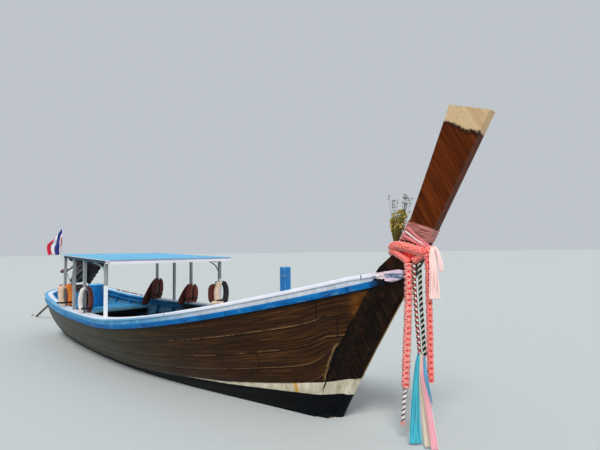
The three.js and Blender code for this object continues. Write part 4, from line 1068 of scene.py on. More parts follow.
def rail_look():
    """Blue rubbing strake: rubbed pale on its crown, dark joints, and fading out at the bow."""
    look = Look("rail_paint", 0.5, specular=0.12)
    inset, drop, _ = look.layer("Cap")
    x, _, _ = look.parts(look.place)
    dirt = look.noise(10.0, 6, 0.7, stretch=(0.4, 1.0, 1.0))
    base = look.ramp(dirt, (0.3, srgb(10, 122, 188)), (0.55, srgb(2, 96, 164)), (0.8, srgb(6, 52, 88)))
    pale = look.ramp(dirt, (0.3, srgb(108, 184, 222)), (0.6, srgb(70, 148, 196)), (0.85, srgb(60, 92, 108)))
    aft = look.fall(x + dirt * 0.8, -2.8, -0.2)
    base = look.mix(look.both(aft, look.fall(drop, 0.3, 0.42)), base, pale)
    rubbed = look.both(
        look.fall(inset, 0.01, 0.04), look.rise(look.noise(14.0, 5, 0.7, stretch=(0.3, 1.0, 1.0)), 0.56, 0.66)
    )
    base = look.mix(rubbed * 0.5, base, srgb(120, 160, 184))
    joint = look.fall(look.sum("PINGPONG", x + 0.4, 1.7), 0.003, 0.008)
    base = look.mix(joint, base, srgb(10, 30, 48))
    bow = look.rise(x + dirt * 0.25, 4.85, 5.02)
    base = look.mix(bow, base, srgb(14, 14, 30))
    normal = look.bump(look.noise(4.0, 4, stretch=(2.0, 20.0, 20.0)), 0.0015, 0.4)
    return look.finish(base, normal)


def build_gunwales():
    cap_section = rounded(0.19, 0.045, 0.009)
    rail_section = rounded(0.0232, 0.07, 0.009)
    for name, side in SIDES:
        edge_strip(
            f"cap_board_{name}", side, 4.87, cap_section, cap_place, f"gunwale_cap_{name}", LOOKS["cap"],
            "white_paint"
        )
        edge_strip(
            f"rub_strake_{name}", side, 4.94, rail_section, rail_place, f"rub_rail_{name}",
            LOOKS["rail_edge"], "blue_paint"
        )
        points, faces = strake_end(side)
        board = add_mesh(f"strake_end_{name}", points, faces, "hull", LOOKS["strake_end"], slot="white_paint")
        sharpen(board, 40)


STRAKE_END_TOP = [
    (4.84, 1.722), (4.90, 1.742), (4.97, 1.752), (5.06, 1.768), (5.12, 1.772), (5.168, 1.757), (5.176, 1.74)
]
STRAKE_END_LOW = [
    (4.84, 1.668), (4.90, 1.664), (4.96, 1.640), (5.01, 1.636), (5.08, 1.652), (5.15, 1.676), (5.176, 1.70)
]


def strake_end(side):
    """A tapering board let into the stem's side, split and swollen towards its end."""
    rings = []
    for x in np.linspace(4.84, 5.176, 16):
        top = float(np.interp(x, *zip(*STRAKE_END_TOP)))
        low = float(np.interp(x, *zip(*STRAKE_END_LOW)))
        out = max(STEM_SIDE, gunwale(min(x, 4.99)) - 0.004)
        thick = 0.02 + 0.004 * math.sin(21 * x)
        corners = ((out, top), (out + thick, top - 0.006), (out + thick + 0.003, (top + low) / 2))
        corners += ((out + thick, low + 0.006), (out, low))
        rings.append([(x, side * y, z) for y, z in corners])
    return tube(rings)


def strake_end_look():
    """Lilac-white paint over blue-grey wood, the paint split off in long flakes."""
    look = Look("strake_end_paint", 0.55, specular=0.2)
    x, _, z = look.parts(look.place)
    flakes = look.noise(2.2, 6, 0.65, 0.5, stretch=(5.0, 1.0, 22.0), turn=(0, 0.12, 0))
    paint = look.mix(look.rise(x, 4.86, 5.0), srgb(252, 230, 220), srgb(232, 204, 222))
    middle = look.both(look.rise(x, 4.94, 5.0), look.rise(z, 1.672, 1.685), look.fall(z, 1.722, 1.735))
    worn = flakes + middle * 0.14
    base = look.mix(look.rise(worn, 0.56, 0.6), paint, srgb(96, 124, 156))
    base = look.mix(look.rise(worn, 0.68, 0.72), base, srgb(52, 46, 52))
    return look.finish(base, look.bump(look.fall(worn, 0.56, 0.6), 0.002, 0.7))


LOOKS["cap"] = cap_look()
LOOKS["strake_end"] = strake_end_look()
LOOKS["rail_edge"] = rail_look()
build_gunwales()

# Cords and garlands that hang from the loop round the stem


def braid_look(name, one, two, three):
    """A braided cord: strands of three colours that cross in chevrons."""
    look = Look(name, 0.85, sheen=0.2, specular=0.2)
    turn, run, _ = look.layer("Run")
    lean = run * 18.2
    right = look.sum("SINE", (turn * 2.0 + lean) * 6.2832)
    left = look.sum("SINE", (turn * 2.0 - lean) * 6.2832)
    base = look.mix(look.rise(right, -0.15, 0.15), one, two)
    base = look.mix(look.rise(left, 0.45, 0.6), base, three)
    base = look.shade(base, look.noise(30.0, 5), 0.65, 1.2)
    fuzz = look.noise(300.0, 4)
    normal = look.bump(look.sum("MAXIMUM", right, left), 0.002, 0.7)
    return look.finish(base, look.bump(fuzz, 0.0006, 0.5, normal))


def ruffle_look(name, bright, deep):
    """Gathered ribbon: painted light makes the frills' edges bright, painted shade makes it deep between them."""
    look = Look(name, 0.8, sheen=0.4, specular=0.25)
    _, frill, _ = look.layer("Run")
    patches = look.noise(14.0, 5, 0.6)
    middle = [(a * 0.35 + b * 0.65) for a, b in zip(bright, deep)]
    # Painted light and shade: bright where a frill stands out, deep between frills
    base = look.ramp(frill, (0.12, deep), (0.5, middle), (0.86, bright))
    base = look.shade(base, patches, 0.95, 1.35)
    base = look.mix(look.rise(look.noise(46.0, 6, 0.7), 0.6, 0.7), base, srgb(255, 220, 210))
    threads = look.noise(420.0, 3)
    return look.finish(base, look.bump(threads, 0.0006, 0.6))


LOOKS["coral"] = ruffle_look("coral_ruffles", srgb(255, 172, 160), srgb(236, 38, 42))
LOOKS["coral_deep"] = ruffle_look("coral_deep", srgb(255, 140, 130), srgb(196, 22, 30))
LOOKS["coral_loop"] = ruffle_look("coral_loop", srgb(255, 166, 150), srgb(244, 48, 48))
LOOKS["braid_pale"] = braid_look("braid_pale", srgb(246, 242, 238), srgb(230, 214, 212), srgb(60, 54, 60))
LOOKS["braid_light"] = braid_look(
    "braid_white_black_red", srgb(236, 230, 220), srgb(14, 14, 18), srgb(196, 60, 52)
)
LOOKS["braid_dark"] = braid_look(
    "braid_black_green_white", srgb(12, 14, 16), srgb(28, 74, 58), srgb(226, 216, 200)
)

GARLAND_AFT = [
    (5.222, -0.1, 1.8416), (5.222, -0.1, 1.595), (5.202, -0.1, 1.244), (5.177, -0.1, 0.892),
    (5.155, -0.1, 0.559)
]
BRAID_END = [(5.155, -0.1, 0.560), (5.142, -0.101, 0.45), (5.126, -0.102, 0.3), (5.116, -0.102, 0.205)]
GARLAND_FRONT = [
    (5.446, -0.1, 1.9346),
    (5.446, -0.1, 1.89),
    (5.456, -0.1, 1.76),
    (5.452, -0.1, 1.606),
    (5.452, -0.1, 1.336),
    (5.45, -0.1, 1.101),
    (5.446, -0.1, 0.668),
]
ROPE_AFT = [
    (5.288, -0.1, 1.8416), (5.29, -0.1, 1.7), (5.298, -0.1, 1.46), (5.31, -0.1, 1.22), (5.331, -0.1, 0.933)
]
ROPE_FRONT = [
    (5.357, -0.1, 1.8416), (5.357, -0.1, 1.7), (5.36, -0.1, 1.465), (5.372, -0.1, 1.21), (5.388, -0.1, 0.925)
]


def garland(name, route, radius, node, look):
    """A ribbon gathered on a string: frills that stand out in turn, each waved round its rim."""
    long = length_of(spline(route, 200))
    pitch = 0.012
    rings = int(long / pitch) * 2
    line = spline(route, rings + 1)
    sides = 28
    local = random.Random(name)
    phases = [local.uniform(0, 6.28) for _ in range(rings + 1)]
    reach = [local.uniform(0.94, 1.12) for _ in range(rings + 1)]
    points, layer, ring_list = [], [], []
    for i, (centre, (u, v)) in enumerate(zip(line, frames_along(line))):
        out = i % 2 == 1 and 0 < i < rings
        ring = []
        for a in around(sides):
            wave = math.sin(7 * a + phases[i]) + 0.5 * math.sin(11 * a + 2 * phases[i])
            turn = i / rings * long * 2 * math.pi / 0.058
            plait = max(math.sin(2 * a + turn), math.sin(2 * a - turn))
            full = radius * (0.9 + 0.12 * plait)
            if out:
                r = full * reach[i] * (1 + 0.06 * wave)
                shift = 0.005 * wave
            else:
                r = full * (0.84 + 0.03 * wave)
                shift = 0.0
            ahead = line[min(i + 1, rings)] - line[max(i - 1, 0)]
            ahead = ahead / np.linalg.norm(ahead)
            ring.append(centre + r * (math.cos(a) * u + math.sin(a) * v) + shift * ahead)
            # The second number is how far this place stands out, which the material turns into painted light and shade
            layer.append((a / (2 * math.pi), (0.66 if out else 0.38) + 0.34 * plait))
        ring_list.append(ring)
    points, faces = tube(ring_list)
    piece = add_mesh(name, points, faces, "hull", LOOKS[look], replaces=[node], slot="coral_garland")
    add_layer(piece, "Run", layer)
    return piece, line, long


def braid(name, route, radius, look, node=None):
    long = length_of(spline(route, 200))
    line = spline(route, int(long / 0.006) + 2)

    def radius_at(s, a):
        right = math.sin(2 * a + s * 114)
        left = math.sin(2 * a - s * 114)
        return radius * (0.9 + 0.12 * max(right, left))

    points, faces, layer = rope_mesh(line, radius_at, 16)
    piece = add_mesh(name, points, faces, "hull", look, replaces=[node] if node else (), slot="cord_white")
    add_layer(piece, "Run", layer)
    return piece, line, long


def tassel(name, top, length, radius, look, slot):
    """Threads bound at the top and spread below."""
    points, faces = [], []
    strands = 26
    for k in range(strands):
        a = 2 * math.pi * k / strands * 2.618
        spread = radius * math.sqrt((k + 0.5) / strands)
        rings = []
        for s in np.linspace(0, 1, 6):
            wide = spread * (0.35 + 0.65 * s)
            centre = Vector(top) + Vector((math.cos(a) * wide, math.sin(a) * wide, -length * s))
            thick = float(0.0022 * (1 - 0.5 * s))
            rings.append([centre + thick * Vector((math.cos(b), math.sin(b), 0)) for b in around(4)])
        more, joins = tube(rings, start=len(points))
        points += more
        faces += joins
    rings = []
    for s, r in ((0.006, 0.5), (0.0, 0.75), (-0.008, 0.8), (-0.016, 0.6)):
        centre = Vector(top) + Vector((0, 0, s))
        wide = float(r * radius * 0.8)
        rings.append([centre + wide * Vector((math.cos(b), math.sin(b), 0)) for b in around(12)])
    more, joins = tube(rings, start=len(points))
    return add_mesh(name, points + more, faces + joins, "hull", look, slot=slot)


def every(line, step):
    """Each point of a line that comes after so many others, and its last one."""
    return [tuple(p) for p in line[::step]] + [tuple(line[-1])]


def hang_cords():
    piece, line, long = garland("garland_aft_ruffles", GARLAND_AFT, 0.043, "garland_aft", "coral")
    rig.cord(
        piece, GARLAND_AFT[0], long, 0.086, "knot", "limp", "hanging",
        path=every(line, max(1, len(line) // 30))
    )
    end, line_end, long_end = braid("garland_aft_braid", BRAID_END, 0.024, LOOKS["braid_pale"])
    red = tassel("braid_tassel", (5.1155, -0.102, 0.215), 0.05, 0.036, LOOKS["coral"], "coral_garland")
    # The tassel takes one level of the ruffles' painted light and shade
    add_layer(red, "Run", [(0.0, 0.7)] * len(red.data.vertices))
    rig.cord(
        end, BRAID_END[0], long_end, 0.048, "knot", "limp", "hanging", path=every(line_end, 3),
        with_pieces=[red]
    )
    piece, line, long = garland("garland_front_ruffles", GARLAND_FRONT, 0.034, "garland_front", "coral_deep")
    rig.cord(
        piece, GARLAND_FRONT[0], long, 0.068, "knot", "limp", "hanging",
        path=every(line, max(1, len(line) // 30))
    )
    piece, line, long = braid("rope_aft_braid", ROPE_AFT, 0.021, LOOKS["braid_light"], "stem_rope_aft")
    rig.cord(piece, ROPE_AFT[0], long, 0.042, "knot", "limp", "hanging", path=every(line, 5))
    piece, line, long = braid("rope_front_braid", ROPE_FRONT, 0.021, LOOKS["braid_dark"], "stem_rope_front")
    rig.cord(piece, ROPE_FRONT[0], long, 0.042, "knot", "limp", "hanging", path=every(line, 5))


hang_cords()


# Cloth on the stem: gauze, a folded band, the ruffled loop, ribbons and dried flowers


def stem_back(z):
    """The stem's back edge at a height."""
    heights = (1.64, 1.795, 1.91, 2.08, 2.31, 2.84, 3.41)
    places = (4.70, 4.83, 4.98, 5.105, 5.24, 5.47, 5.71)
    return float(np.interp(z, heights, places))


def around_stem(s, back_z, front_z, out):
    """A point round the stem: s goes from the back by starboard to the front, and back by port."""
    half = 0.0608 + out
    level = lerp(back_z, front_z, min(s, 1 - s) * 2)
    a = stem_back(level) - out - 0.002
    b = stem_front(level) + out + 0.002
    side = b - a
    run = (s % 1.0) * (2 * side + 4 * half)
    if run < half:
        return Vector((a, -run, level))
    run -= half
    if run < side:
        return Vector((a + run, -half, level))
    run -= side
    if run < 2 * half:
        return Vector((b, -half + run, level))
    run -= 2 * half
    if run < side:
        return Vector((b - run, half, level))
    return Vector((a, half - (run - side), level))


def sheet_area(points, rows, columns, wrap=False):
    """The area of one side of a grid of points."""
    grid = np.array(points, float).reshape(rows, columns, 3)
    if wrap:
        grid = np.concatenate([grid, grid[:, :1]], axis=1)
    a = np.cross(grid[1:, :-1] - grid[:-1, :-1], grid[:-1, 1:] - grid[:-1, :-1])
    b = np.cross(grid[1:, :-1] - grid[1:, 1:], grid[:-1, 1:] - grid[1:, 1:])
    return float((np.linalg.norm(a, axis=2).sum() + np.linalg.norm(b, axis=2).sum()) / 2)


def cloth_sheet(name, grid, thick, look, replaces=(), slot=None, wrap=False):
    """A thin closed sheet from rows of points, thickened along its normals, with UVs across and along it."""
    grid = np.array(grid, float)
    rows, columns = grid.shape[:2]
    if wrap:
        across = np.roll(grid, -1, axis=1) - np.roll(grid, 1, axis=1)
    else:
        across = np.gradient(grid, axis=1)
    down = np.gradient(grid, axis=0)
    normal = np.cross(across, down)
    normal /= np.maximum(np.linalg.norm(normal, axis=2), 1e-9)[:, :, None]
    points = np.concatenate([
        (grid + normal * thick / 2).reshape(-1, 3), (grid - normal * thick / 2).reshape(-1, 3)
    ])
    front, back, ends, sides = sheet_faces(rows, columns, wrap)
    faces = front + back + ends + sides
    piece = add_mesh(name, points, faces, "hull", look, replaces=replaces, slot=slot)
    layer = [(j / max(1, columns - 1), i / (rows - 1)) for i in range(rows) for j in range(columns)]
    add_layer(piece, "Weave", layer + layer)
    return piece


def declare_sheet(piece, grid, width, length, held, rests_on, wrap=False):
    rows, columns = np.array(grid).shape[:2]
    area = sheet_area(grid, rows, columns, wrap)
    share = min(area, width * length)
    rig.sheet(piece, (width, length), held, rests_on, area=share, with_pieces=())


def gauze_look():
    """Thin pink gauze: pale gathers with the dark wood's colour between them."""
    look = Look("pink_gauze", 0.8, sheen=0.4, specular=0.2)
    across, down, _ = look.layer("Weave")
    gathers = look.noise(1.0, 4, 0.6, 0.6, at=look.joined(across * 5.0, down * 26.0, 0.0))
    base = look.ramp(
        gathers,
        (0.34, srgb(88, 36, 24)),
        (0.44, srgb(148, 78, 66)),
        (0.57, srgb(214, 136, 130)),
        (0.74, srgb(255, 206, 200)),
    )
    net = look.noise(260.0, 3)
    return look.finish(base, look.bump(net, 0.0008, 0.6, look.bump(gathers, 0.006, 0.7)))


def ribbon_look(name, face, fold, edge=None):
    """Satin ribbon: soft streaks along its length, with painted shade for its folds and painted sheen, and a paler
    selvage.
    """
    look = Look(name, 0.55, sheen=0.3, specular=0.3)
    across, down, _ = look.layer("Weave")
    streaks = look.noise(1.3, 4, 0.55, 0.4, at=look.joined(across * 7.0, down * 1.6, 0.0))
    # The fold colour is painted shade and the lightest streaks are painted sheen
    base = look.ramp(streaks, (0.34, fold), (0.52, face), (0.72, [min(1.0, c * 1.25 + 0.05) for c in face]))
    rim = look.fall(look.sum("PINGPONG", across, 0.5), 0.02, 0.06)
    base = look.mix(rim * 0.6, base, edge or [min(1.0, c * 1.4 + 0.1) for c in face])
    base = look.mix(look.rise(look.noise(9.0, 6, 0.7), 0.56, 0.74) * 0.35, base, srgb(150, 132, 110))
    threads = look.noise(320.0, 3, stretch=(1.0, 1.0, 6.0))
    return look.finish(base, look.bump(threads, 0.0004, 0.5))


LOOKS["gauze"] = gauze_look()
# Each ribbon: its colour, a darker colour that paints shade in its folds, and its selvage's colour where given
LOOKS["pink"] = ribbon_look("pink_ribbon", srgb(250, 176, 186), srgb(214, 122, 134))
LOOKS["band"] = ribbon_look("band_pink", srgb(244, 128, 134), srgb(176, 50, 62), srgb(252, 190, 184))
LOOKS["pale_pink"] = ribbon_look(
    "pale_pink_ribbon", srgb(252, 216, 208), srgb(232, 166, 160), srgb(255, 238, 232)
)
LOOKS["turquoise"] = ribbon_look(
    "turquoise_ribbon", srgb(66, 192, 212), srgb(22, 116, 142), srgb(196, 232, 236)
)
LOOKS["cream"] = ribbon_look("cream_ribbon", srgb(238, 224, 198), srgb(190, 168, 140))
LOOKS["steel_blue"] = ribbon_look("blue_ribbon", srgb(84, 156, 190), srgb(44, 98, 130))


def wrap_stem():
    rows, columns = 26, 132
    grid = []
    for i in range(rows):
        v = i / (rows - 1)
        row = []
        for j in range(columns):
            s = j / columns
            back_z = lerp(2.303, 2.092, v)
            front_z = lerp(2.165, 2.046, v)
            wave = 0.0035 * math.sin(v * 26 + 5 * math.sin(6.28 * s))
            fold = 0.0045 + wave + 0.0015 * math.sin(v * 61 + 9 * s)
            row.append(around_stem(s, back_z, front_z, max(0.0012, fold)))
        grid.append(row)
    piece = cloth_sheet(
        "stem_gauze", grid, 0.0012, LOOKS["gauze"], ["stem_wrap"], "pale_pink_ribbon", wrap=True
    )
    declare_sheet(piece, grid, 0.42, 1.05, "gathered", ["stem_post"], wrap=True)
    # A folded pink band that runs down across the gauze to the knot at the front
    bands = ((2.212, 2.022, 0.013, "band"), (2.176, 2.006, 0.010, "pale_pink"), (2.140, 1.994, 0.014, "band"))
    for k, (z0, z1, wide, look) in enumerate(bands):
        grid = []
        for u in np.linspace(0, 1, 40):
            x = lerp(5.212 - 0.03 * k, 5.452, u)
            z = lerp(z0, z1, u) - 0.012 * math.sin(math.pi * u)
            ripple = 0.003 * math.sin(9 * u + 3 * k)
            grid.append([
                (x + w * wide * 0.5, -0.0745 - 0.006 * math.cos(w * 1.3) - ripple, z + w * wide)
                for w in np.linspace(-1, 1, 9)
            ])
        band = cloth_sheet(f"gauze_band_{k + 1}", grid, 0.0015, LOOKS[look], slot="pale_pink_ribbon")
        declare_sheet(band, grid, wide * 2.6, 0.42, "stretched", ["stem_gauze"])


def ruffled(route, radius, seed, pitch=0.012, sides=22):
    """Rings of a ruffled garland along a route."""
    long = length_of(spline(route, 200))
    count = int(long / pitch) * 2
    line = spline(route, count + 1)
    local = random.Random(seed)
    rings, layer = [], []
    for i, (centre, (u, v)) in enumerate(zip(line, frames_along(line))):
        out = i % 2 == 1 and 0 < i < count
        phase, reach = local.uniform(0, 6.28), local.uniform(0.92, 1.1)
        ahead = line[min(i + 1, count)] - line[max(i - 1, 0)]
        ahead = ahead / np.linalg.norm(ahead)
        ring = []
        for a in around(sides):
            wave = math.sin(6 * a + phase) + 0.5 * math.sin(10 * a + 2 * phase)
            r = radius * reach * (1 + 0.07 * wave) if out else radius * (0.72 + 0.03 * wave)
            ring.append(
                centre + r * (math.cos(a) * u + math.sin(a) * v) + (0.006 * wave if out else 0.0) * ahead
            )
            # The second number is how far this place stands out, which the material turns into painted light and shade
            layer.append((a / (2 * math.pi), 1.0 if out else 0.0))
        rings.append(ring)
    return rings, layer


def loop_of_ruffles():
    """The garland goes twice round the stem, and drapes on its starboard side into a V."""
    turns = (
        (0.05, 3, (
            (5.40, -0.088, 1.957), (5.363, -0.088, 1.958), (5.254, -0.088, 1.99), (5.142, -0.088, 2.02),
            (5.051, -0.088, 2.022), (5.018, -0.068, 2.013), (5.0, 0.0, 2.0), (5.02, 0.068, 1.99),
            (5.07, 0.087, 1.985), (5.22, 0.087, 1.98), (5.36, 0.087, 1.972), (5.41, 0.05, 1.972),
            (5.427, 0.0, 1.972), (5.42, -0.05, 1.968),
        )),
        (0.037, 4, (
            (5.015, 0.064, 1.945), (4.985, 0.0, 1.95), (5.0, -0.064, 1.955), (5.036, -0.088, 1.966),
            (5.113, -0.09, 1.925), (5.185, -0.092, 1.878), (5.222, -0.096, 1.842),
        )),
        (0.036, 5, (
            (5.452, -0.03, 1.975), (5.446, -0.082, 1.972), (5.40, -0.09, 1.942), (5.34, -0.09, 1.895),
            (5.285, -0.094, 1.862),
        )),
        (0.030, 6, (
            (4.99, 0.05, 1.94), (5.07, 0.088, 1.915), (5.2, 0.088, 1.895), (5.33, 0.088, 1.92),
            (5.43, 0.06, 1.965), (5.447, 0.0, 1.97),
        )),
    )
    points, faces, layer = [], [], []
    for radius, seed, route in turns:
        rings, more = ruffled([Vector(p) for p in route], radius, seed)
        some, joins = tube(rings, start=len(points))
        points += some
        faces += joins
        layer += more
    piece = add_mesh(
        "loop_ruffles", points, faces, "hull", LOOKS["coral_loop"], replaces=["garland_loop"],
        slot="coral_garland"
    )
    add_layer(piece, "Run", layer)
    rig.padded(piece, 0.6)
    # Bunched red cloth inside the V
    grid = []
    for v in np.linspace(0, 1, 22):
        row = []
        for u in np.linspace(0, 1, 26):
            x = lerp(lerp(5.10, 5.40, u), lerp(5.205, 5.30, u), v)
            z = lerp(lerp(2.0, 1.962, u), 1.865, v)
            puff = math.sin(math.pi * u) ** 0.5 * math.sin(math.pi * min(1, v * 0.9 + 0.1)) ** 0.5
            wave = 0.006 * math.sin(14 * u + 4 * v) + 0.004 * math.sin(9 * v + 21 * u)
            row.append((x, -0.066 - (0.022 + wave) * puff, z))
        grid.append(row)
    red = cloth_sheet("loop_red_cloth", grid, 0.002, LOOKS["red_cloth"], slot="coral_garland")
    declare_sheet(red, grid, 0.32, 0.2, "gathered", ["stem_post"])


def hang_ribbon(name, route, look, node, flat, hangs_from, slot, folds=2.0, depth=0.5, seed=1):
    """A ribbon hung by its top: pleats that open on the way down, and a slow wave."""
    path = np.array(route, float)
    line = spline(path, 54)
    acrossness = Vector((0.707, 0.707, 0))
    outward = Vector((0.707, -0.707, 0))
    local = random.Random(seed)
    phase = local.uniform(0, 6.28)
    grid = []
    for i, (x, y, z, wide) in enumerate(line):
        v = i / (len(line) - 1)
        row = []
        for u in np.linspace(-1, 1, 15):
            swing = math.sin(folds * math.pi * u + phase + 1.5 * v)
            pleat = swing * wide * 0.5 * depth * (0.35 + 0.65 * (1 - v))
            wave = 0.008 * math.sin(7 * v + phase) * min(1.0, 4 * v)
            curl = 0.006 * u * u * math.sin(5 * v + phase)
            centre = Vector((x, y, z))
            row.append(centre + acrossness * float(u * wide / 2) + outward * float(pleat + wave + curl))
        grid.append(row)
    piece = cloth_sheet(name, grid, 0.0012, LOOKS[look], [node] if node else (), slot)
    declare_sheet(piece, grid, flat[0], flat[1], "hung", hangs_from)
    return piece


# Ribbons: look, CAD node, flat size, what it hangs from, slot, number and depth of the folds, seed; then the
# places of its middle down its length, each with the width there
RIBBONS = {
    "turquoise_ribbon": (
        "turquoise", "ribbon_turquoise", (0.18, 0.93), "rope_aft_braid", "turquoise_cloth", 1.5, 0.3, 2,
        [(5.320, -0.103, 0.9315, 0.022), (5.303, -0.104, 0.82, 0.056), (5.275, -0.106, 0.566, 0.078),
         (5.262, -0.108, 0.02, 0.134)],
    ),
    "cream_ribbon": (
        "cream", "ribbon_cream", (0.08, 0.92), "rope_aft_braid", "cream_cloth", 1.0, 0.25, 3,
        [(5.342, -0.092, 0.9328, 0.020), (5.347, -0.095, 0.76, 0.050), (5.354, -0.097, 0.56, 0.056),
         (5.392, -0.098, 0.024, 0.062)],
    ),
    "pink_ribbon": (
        "pink", "ribbon_pink", (0.09, 0.92), "rope_front_braid", "pale_pink_ribbon", 1.0, 0.3, 4,
        [(5.388, -0.1, 0.9239, 0.026), (5.396, -0.158, 0.8, 0.038), (5.41, -0.165, 0.69, 0.054),
         (5.434, -0.15, 0.516, 0.062), (5.487, -0.128, 0.03, 0.072)],
    ),
    "blue_ribbon": (
        "steel_blue", None, (0.06, 0.45), "rope_front_braid", "turquoise_cloth", 1.0, 0.3, 5,
        [(5.402, -0.130, 0.915, 0.02), (5.424, -0.160, 0.79, 0.034), (5.445, -0.165, 0.66, 0.032),
         (5.490, -0.160, 0.48, 0.012)],
    ),
    "pale_ribbon_long": (
        "pale_pink", "ribbon_pale", (0.14, 0.52), "loop_ruffles", "pale_pink_ribbon", 1.5, 0.3, 6,
        [(5.492, -0.06, 2.005, 0.05), (5.500, -0.10, 1.93, 0.062), (5.528, -0.13, 1.72, 0.094),
         (5.54, -0.135, 1.492, 0.118)],
    ),
    "pale_ribbon_short": (
        "pale_pink", None, (0.08, 0.27), "loop_ruffles", "pale_pink_ribbon", 1.0, 0.3, 7,
        [(5.482, -0.03, 2.015, 0.04), (5.522, -0.03, 1.955, 0.05), (5.548, -0.035, 1.86, 0.052),
         (5.556, -0.04, 1.76, 0.046)],
    ),
}


def ribbons():
    for name, (look, node, flat, hung, slot, folds, depth, seed, route) in RIBBONS.items():
        hang_ribbon(name, route, look, node, flat, [hung], slot, folds, depth, seed)


def flower_look():
    look = Look("dried_flowers", 0.9, specular=0.15)
    tone, _, _ = look.layer("Tone")
    base = look.ramp(
        tone,
        (0.0, srgb(48, 42, 30)),
        (0.3, srgb(96, 92, 44)),
        (0.55, srgb(156, 146, 66)),
        (0.8, srgb(206, 176, 82)),
        (1.0, srgb(226, 206, 150)),
    )
    base = look.shade(base, look.noise(60.0, 4), 0.6, 1.25)
    return look.finish(base)


def flowers():
    """Dried stems tied behind the stem: leaves, small heads, and a few tall dark sprigs."""
    local = random.Random(21)
    points, faces, tones = [], [], []

    def add(some, joins, tone):
        base = len(points)
        points.extend(some)
        faces.extend(tuple(base + i for i in face) for face in joins)
        tones.extend([(tone, 0.0)] * len(some))

    def any_way(low=-1, high=1):
        return Vector((local.uniform(-1, 1), local.uniform(-1, 1), local.uniform(low, high)))

    def stalk(line, thick, tone):
        rings = []
        for k, (centre, (u, v)) in enumerate(zip(line, frames_along(line))):
            r = thick * (1 - 0.6 * k / len(line))
            rings.append([centre + r * (math.cos(b) * u + math.sin(b) * v) for b in (0, 2.09, 4.19)])
        some, joins = tube(rings)
        add(some, joins, tone)

    def leaf(at, way, size, tone):
        way = way.normalized()
        side = way.cross(any_way()).normalized()
        up = way.cross(side)
        out, lift = side * size * 0.22, up * size * 0.06
        tip, mid = at + way * size, at + way * size * 0.45
        some = [at, mid + out + lift, tip, mid - out + lift, mid - up * size * 0.05]
        add(some, [(0, 1, 2, 3), (0, 4, 1), (1, 4, 2), (2, 4, 3), (3, 4, 0)], tone)

    def head(at, size, tone):
        some, joins = [], []
        for k in range(3):
            a = math.pi * (k + 0.5) / 3
            for m in range(6):
                b = 2 * math.pi * m / 6 + k
                r = size * math.sin(a) * local.uniform(0.8, 1.25)
                some.append(at + Vector((r * math.cos(b), r * math.sin(b), size * math.cos(a))))
        for k in range(2):
            for m in range(6):
                n = (m + 1) % 6
                joins.append((6 * k + m, 6 * k + n, 6 * k + 6 + n, 6 * k + 6 + m))
        joins += [tuple(range(6))[::-1], tuple(range(12, 18))]
        add(some, joins, tone)

    low, high = Vector((5.022, -0.01, 2.056)), Vector((5.098, -0.05, 2.40))
    for k in range(120):
        a, r = local.uniform(0, 6.28), local.uniform(0.2, 1.0)
        tall = k % 9 == 0
        foot = low + Vector((0.022 * r * math.cos(a), 0.022 * r * math.sin(a), 0))
        top_z = local.uniform(2.46, 2.572) if tall else local.uniform(2.2, 2.4)
        share = (top_z - low.z) / (high.z - low.z)
        spread = 0.04 + 0.075 * min(1.15, share)
        centre = low.lerp(high, share)
        top = Vector((centre.x + spread * r * math.cos(a), centre.y + spread * r * math.sin(a), top_z))
        if top.x > stem_back(top_z) - 0.014 and abs(top.y) < 0.075:
            top.x = stem_back(top_z) - 0.014 - local.uniform(0, 0.03)
        middle = foot.lerp(top, 0.5) + Vector((local.uniform(-1, 1), local.uniform(-1, 1), 0)) * 0.008
        line = spline([foot, middle, top], 7)
        dark = local.uniform(0.0, 0.2) if tall else local.uniform(0.15, 0.6)
        stalk(line, 0.0022, dark)
        for point in line[3:]:
            for _ in range(2 if tall else 3):
                way, size = any_way(0.1, 1.2), local.uniform(0.012, 0.03)
                leaf(Vector(point), way, size, local.uniform(*((0.0, 0.25) if tall else (0.25, 0.8))))
        if not tall:
            head(top, local.uniform(0.008, 0.015), local.uniform(0.55, 1.0))
        else:
            for _ in range(4):
                aside, ahead = local.uniform(-1, 1) * 0.012, local.uniform(-1, 1) * 0.012
                spot = top + Vector((aside, ahead, -local.uniform(0, 0.05)))
                head(spot, 0.005, local.uniform(0.0, 0.3))
    piece = add_mesh(
        "flower_stems", points, faces, "hull", LOOKS["flowers"], smooth=False, replaces=["flower_bunch"],
        closed=False, slot="straw"
    )
    add_layer(piece, "Tone", tones)


LOOKS["flowers"] = flower_look()
LOOKS["red_cloth"] = woven("red_cloth", srgb(250, 60, 56), 1.3, 0.7, 300.0, stains=srgb(196, 30, 34))
wrap_stem()
loop_of_ruffles()
ribbons()
flowers()

# Life jackets on the posts: foam pads, each with its seam, and webbing round them


def rounded_outline(corners, rounds=2):
    """Cuts the corners of a closed outline until it is smooth."""
    line = [Vector(c) for c in corners]
    for _ in range(rounds):
        cut = []
        for a, b in zip(line, line[1:] + line[:1]):
            cut += [a.lerp(b, 0.22), a.lerp(b, 0.78)]
        line = cut
    return line


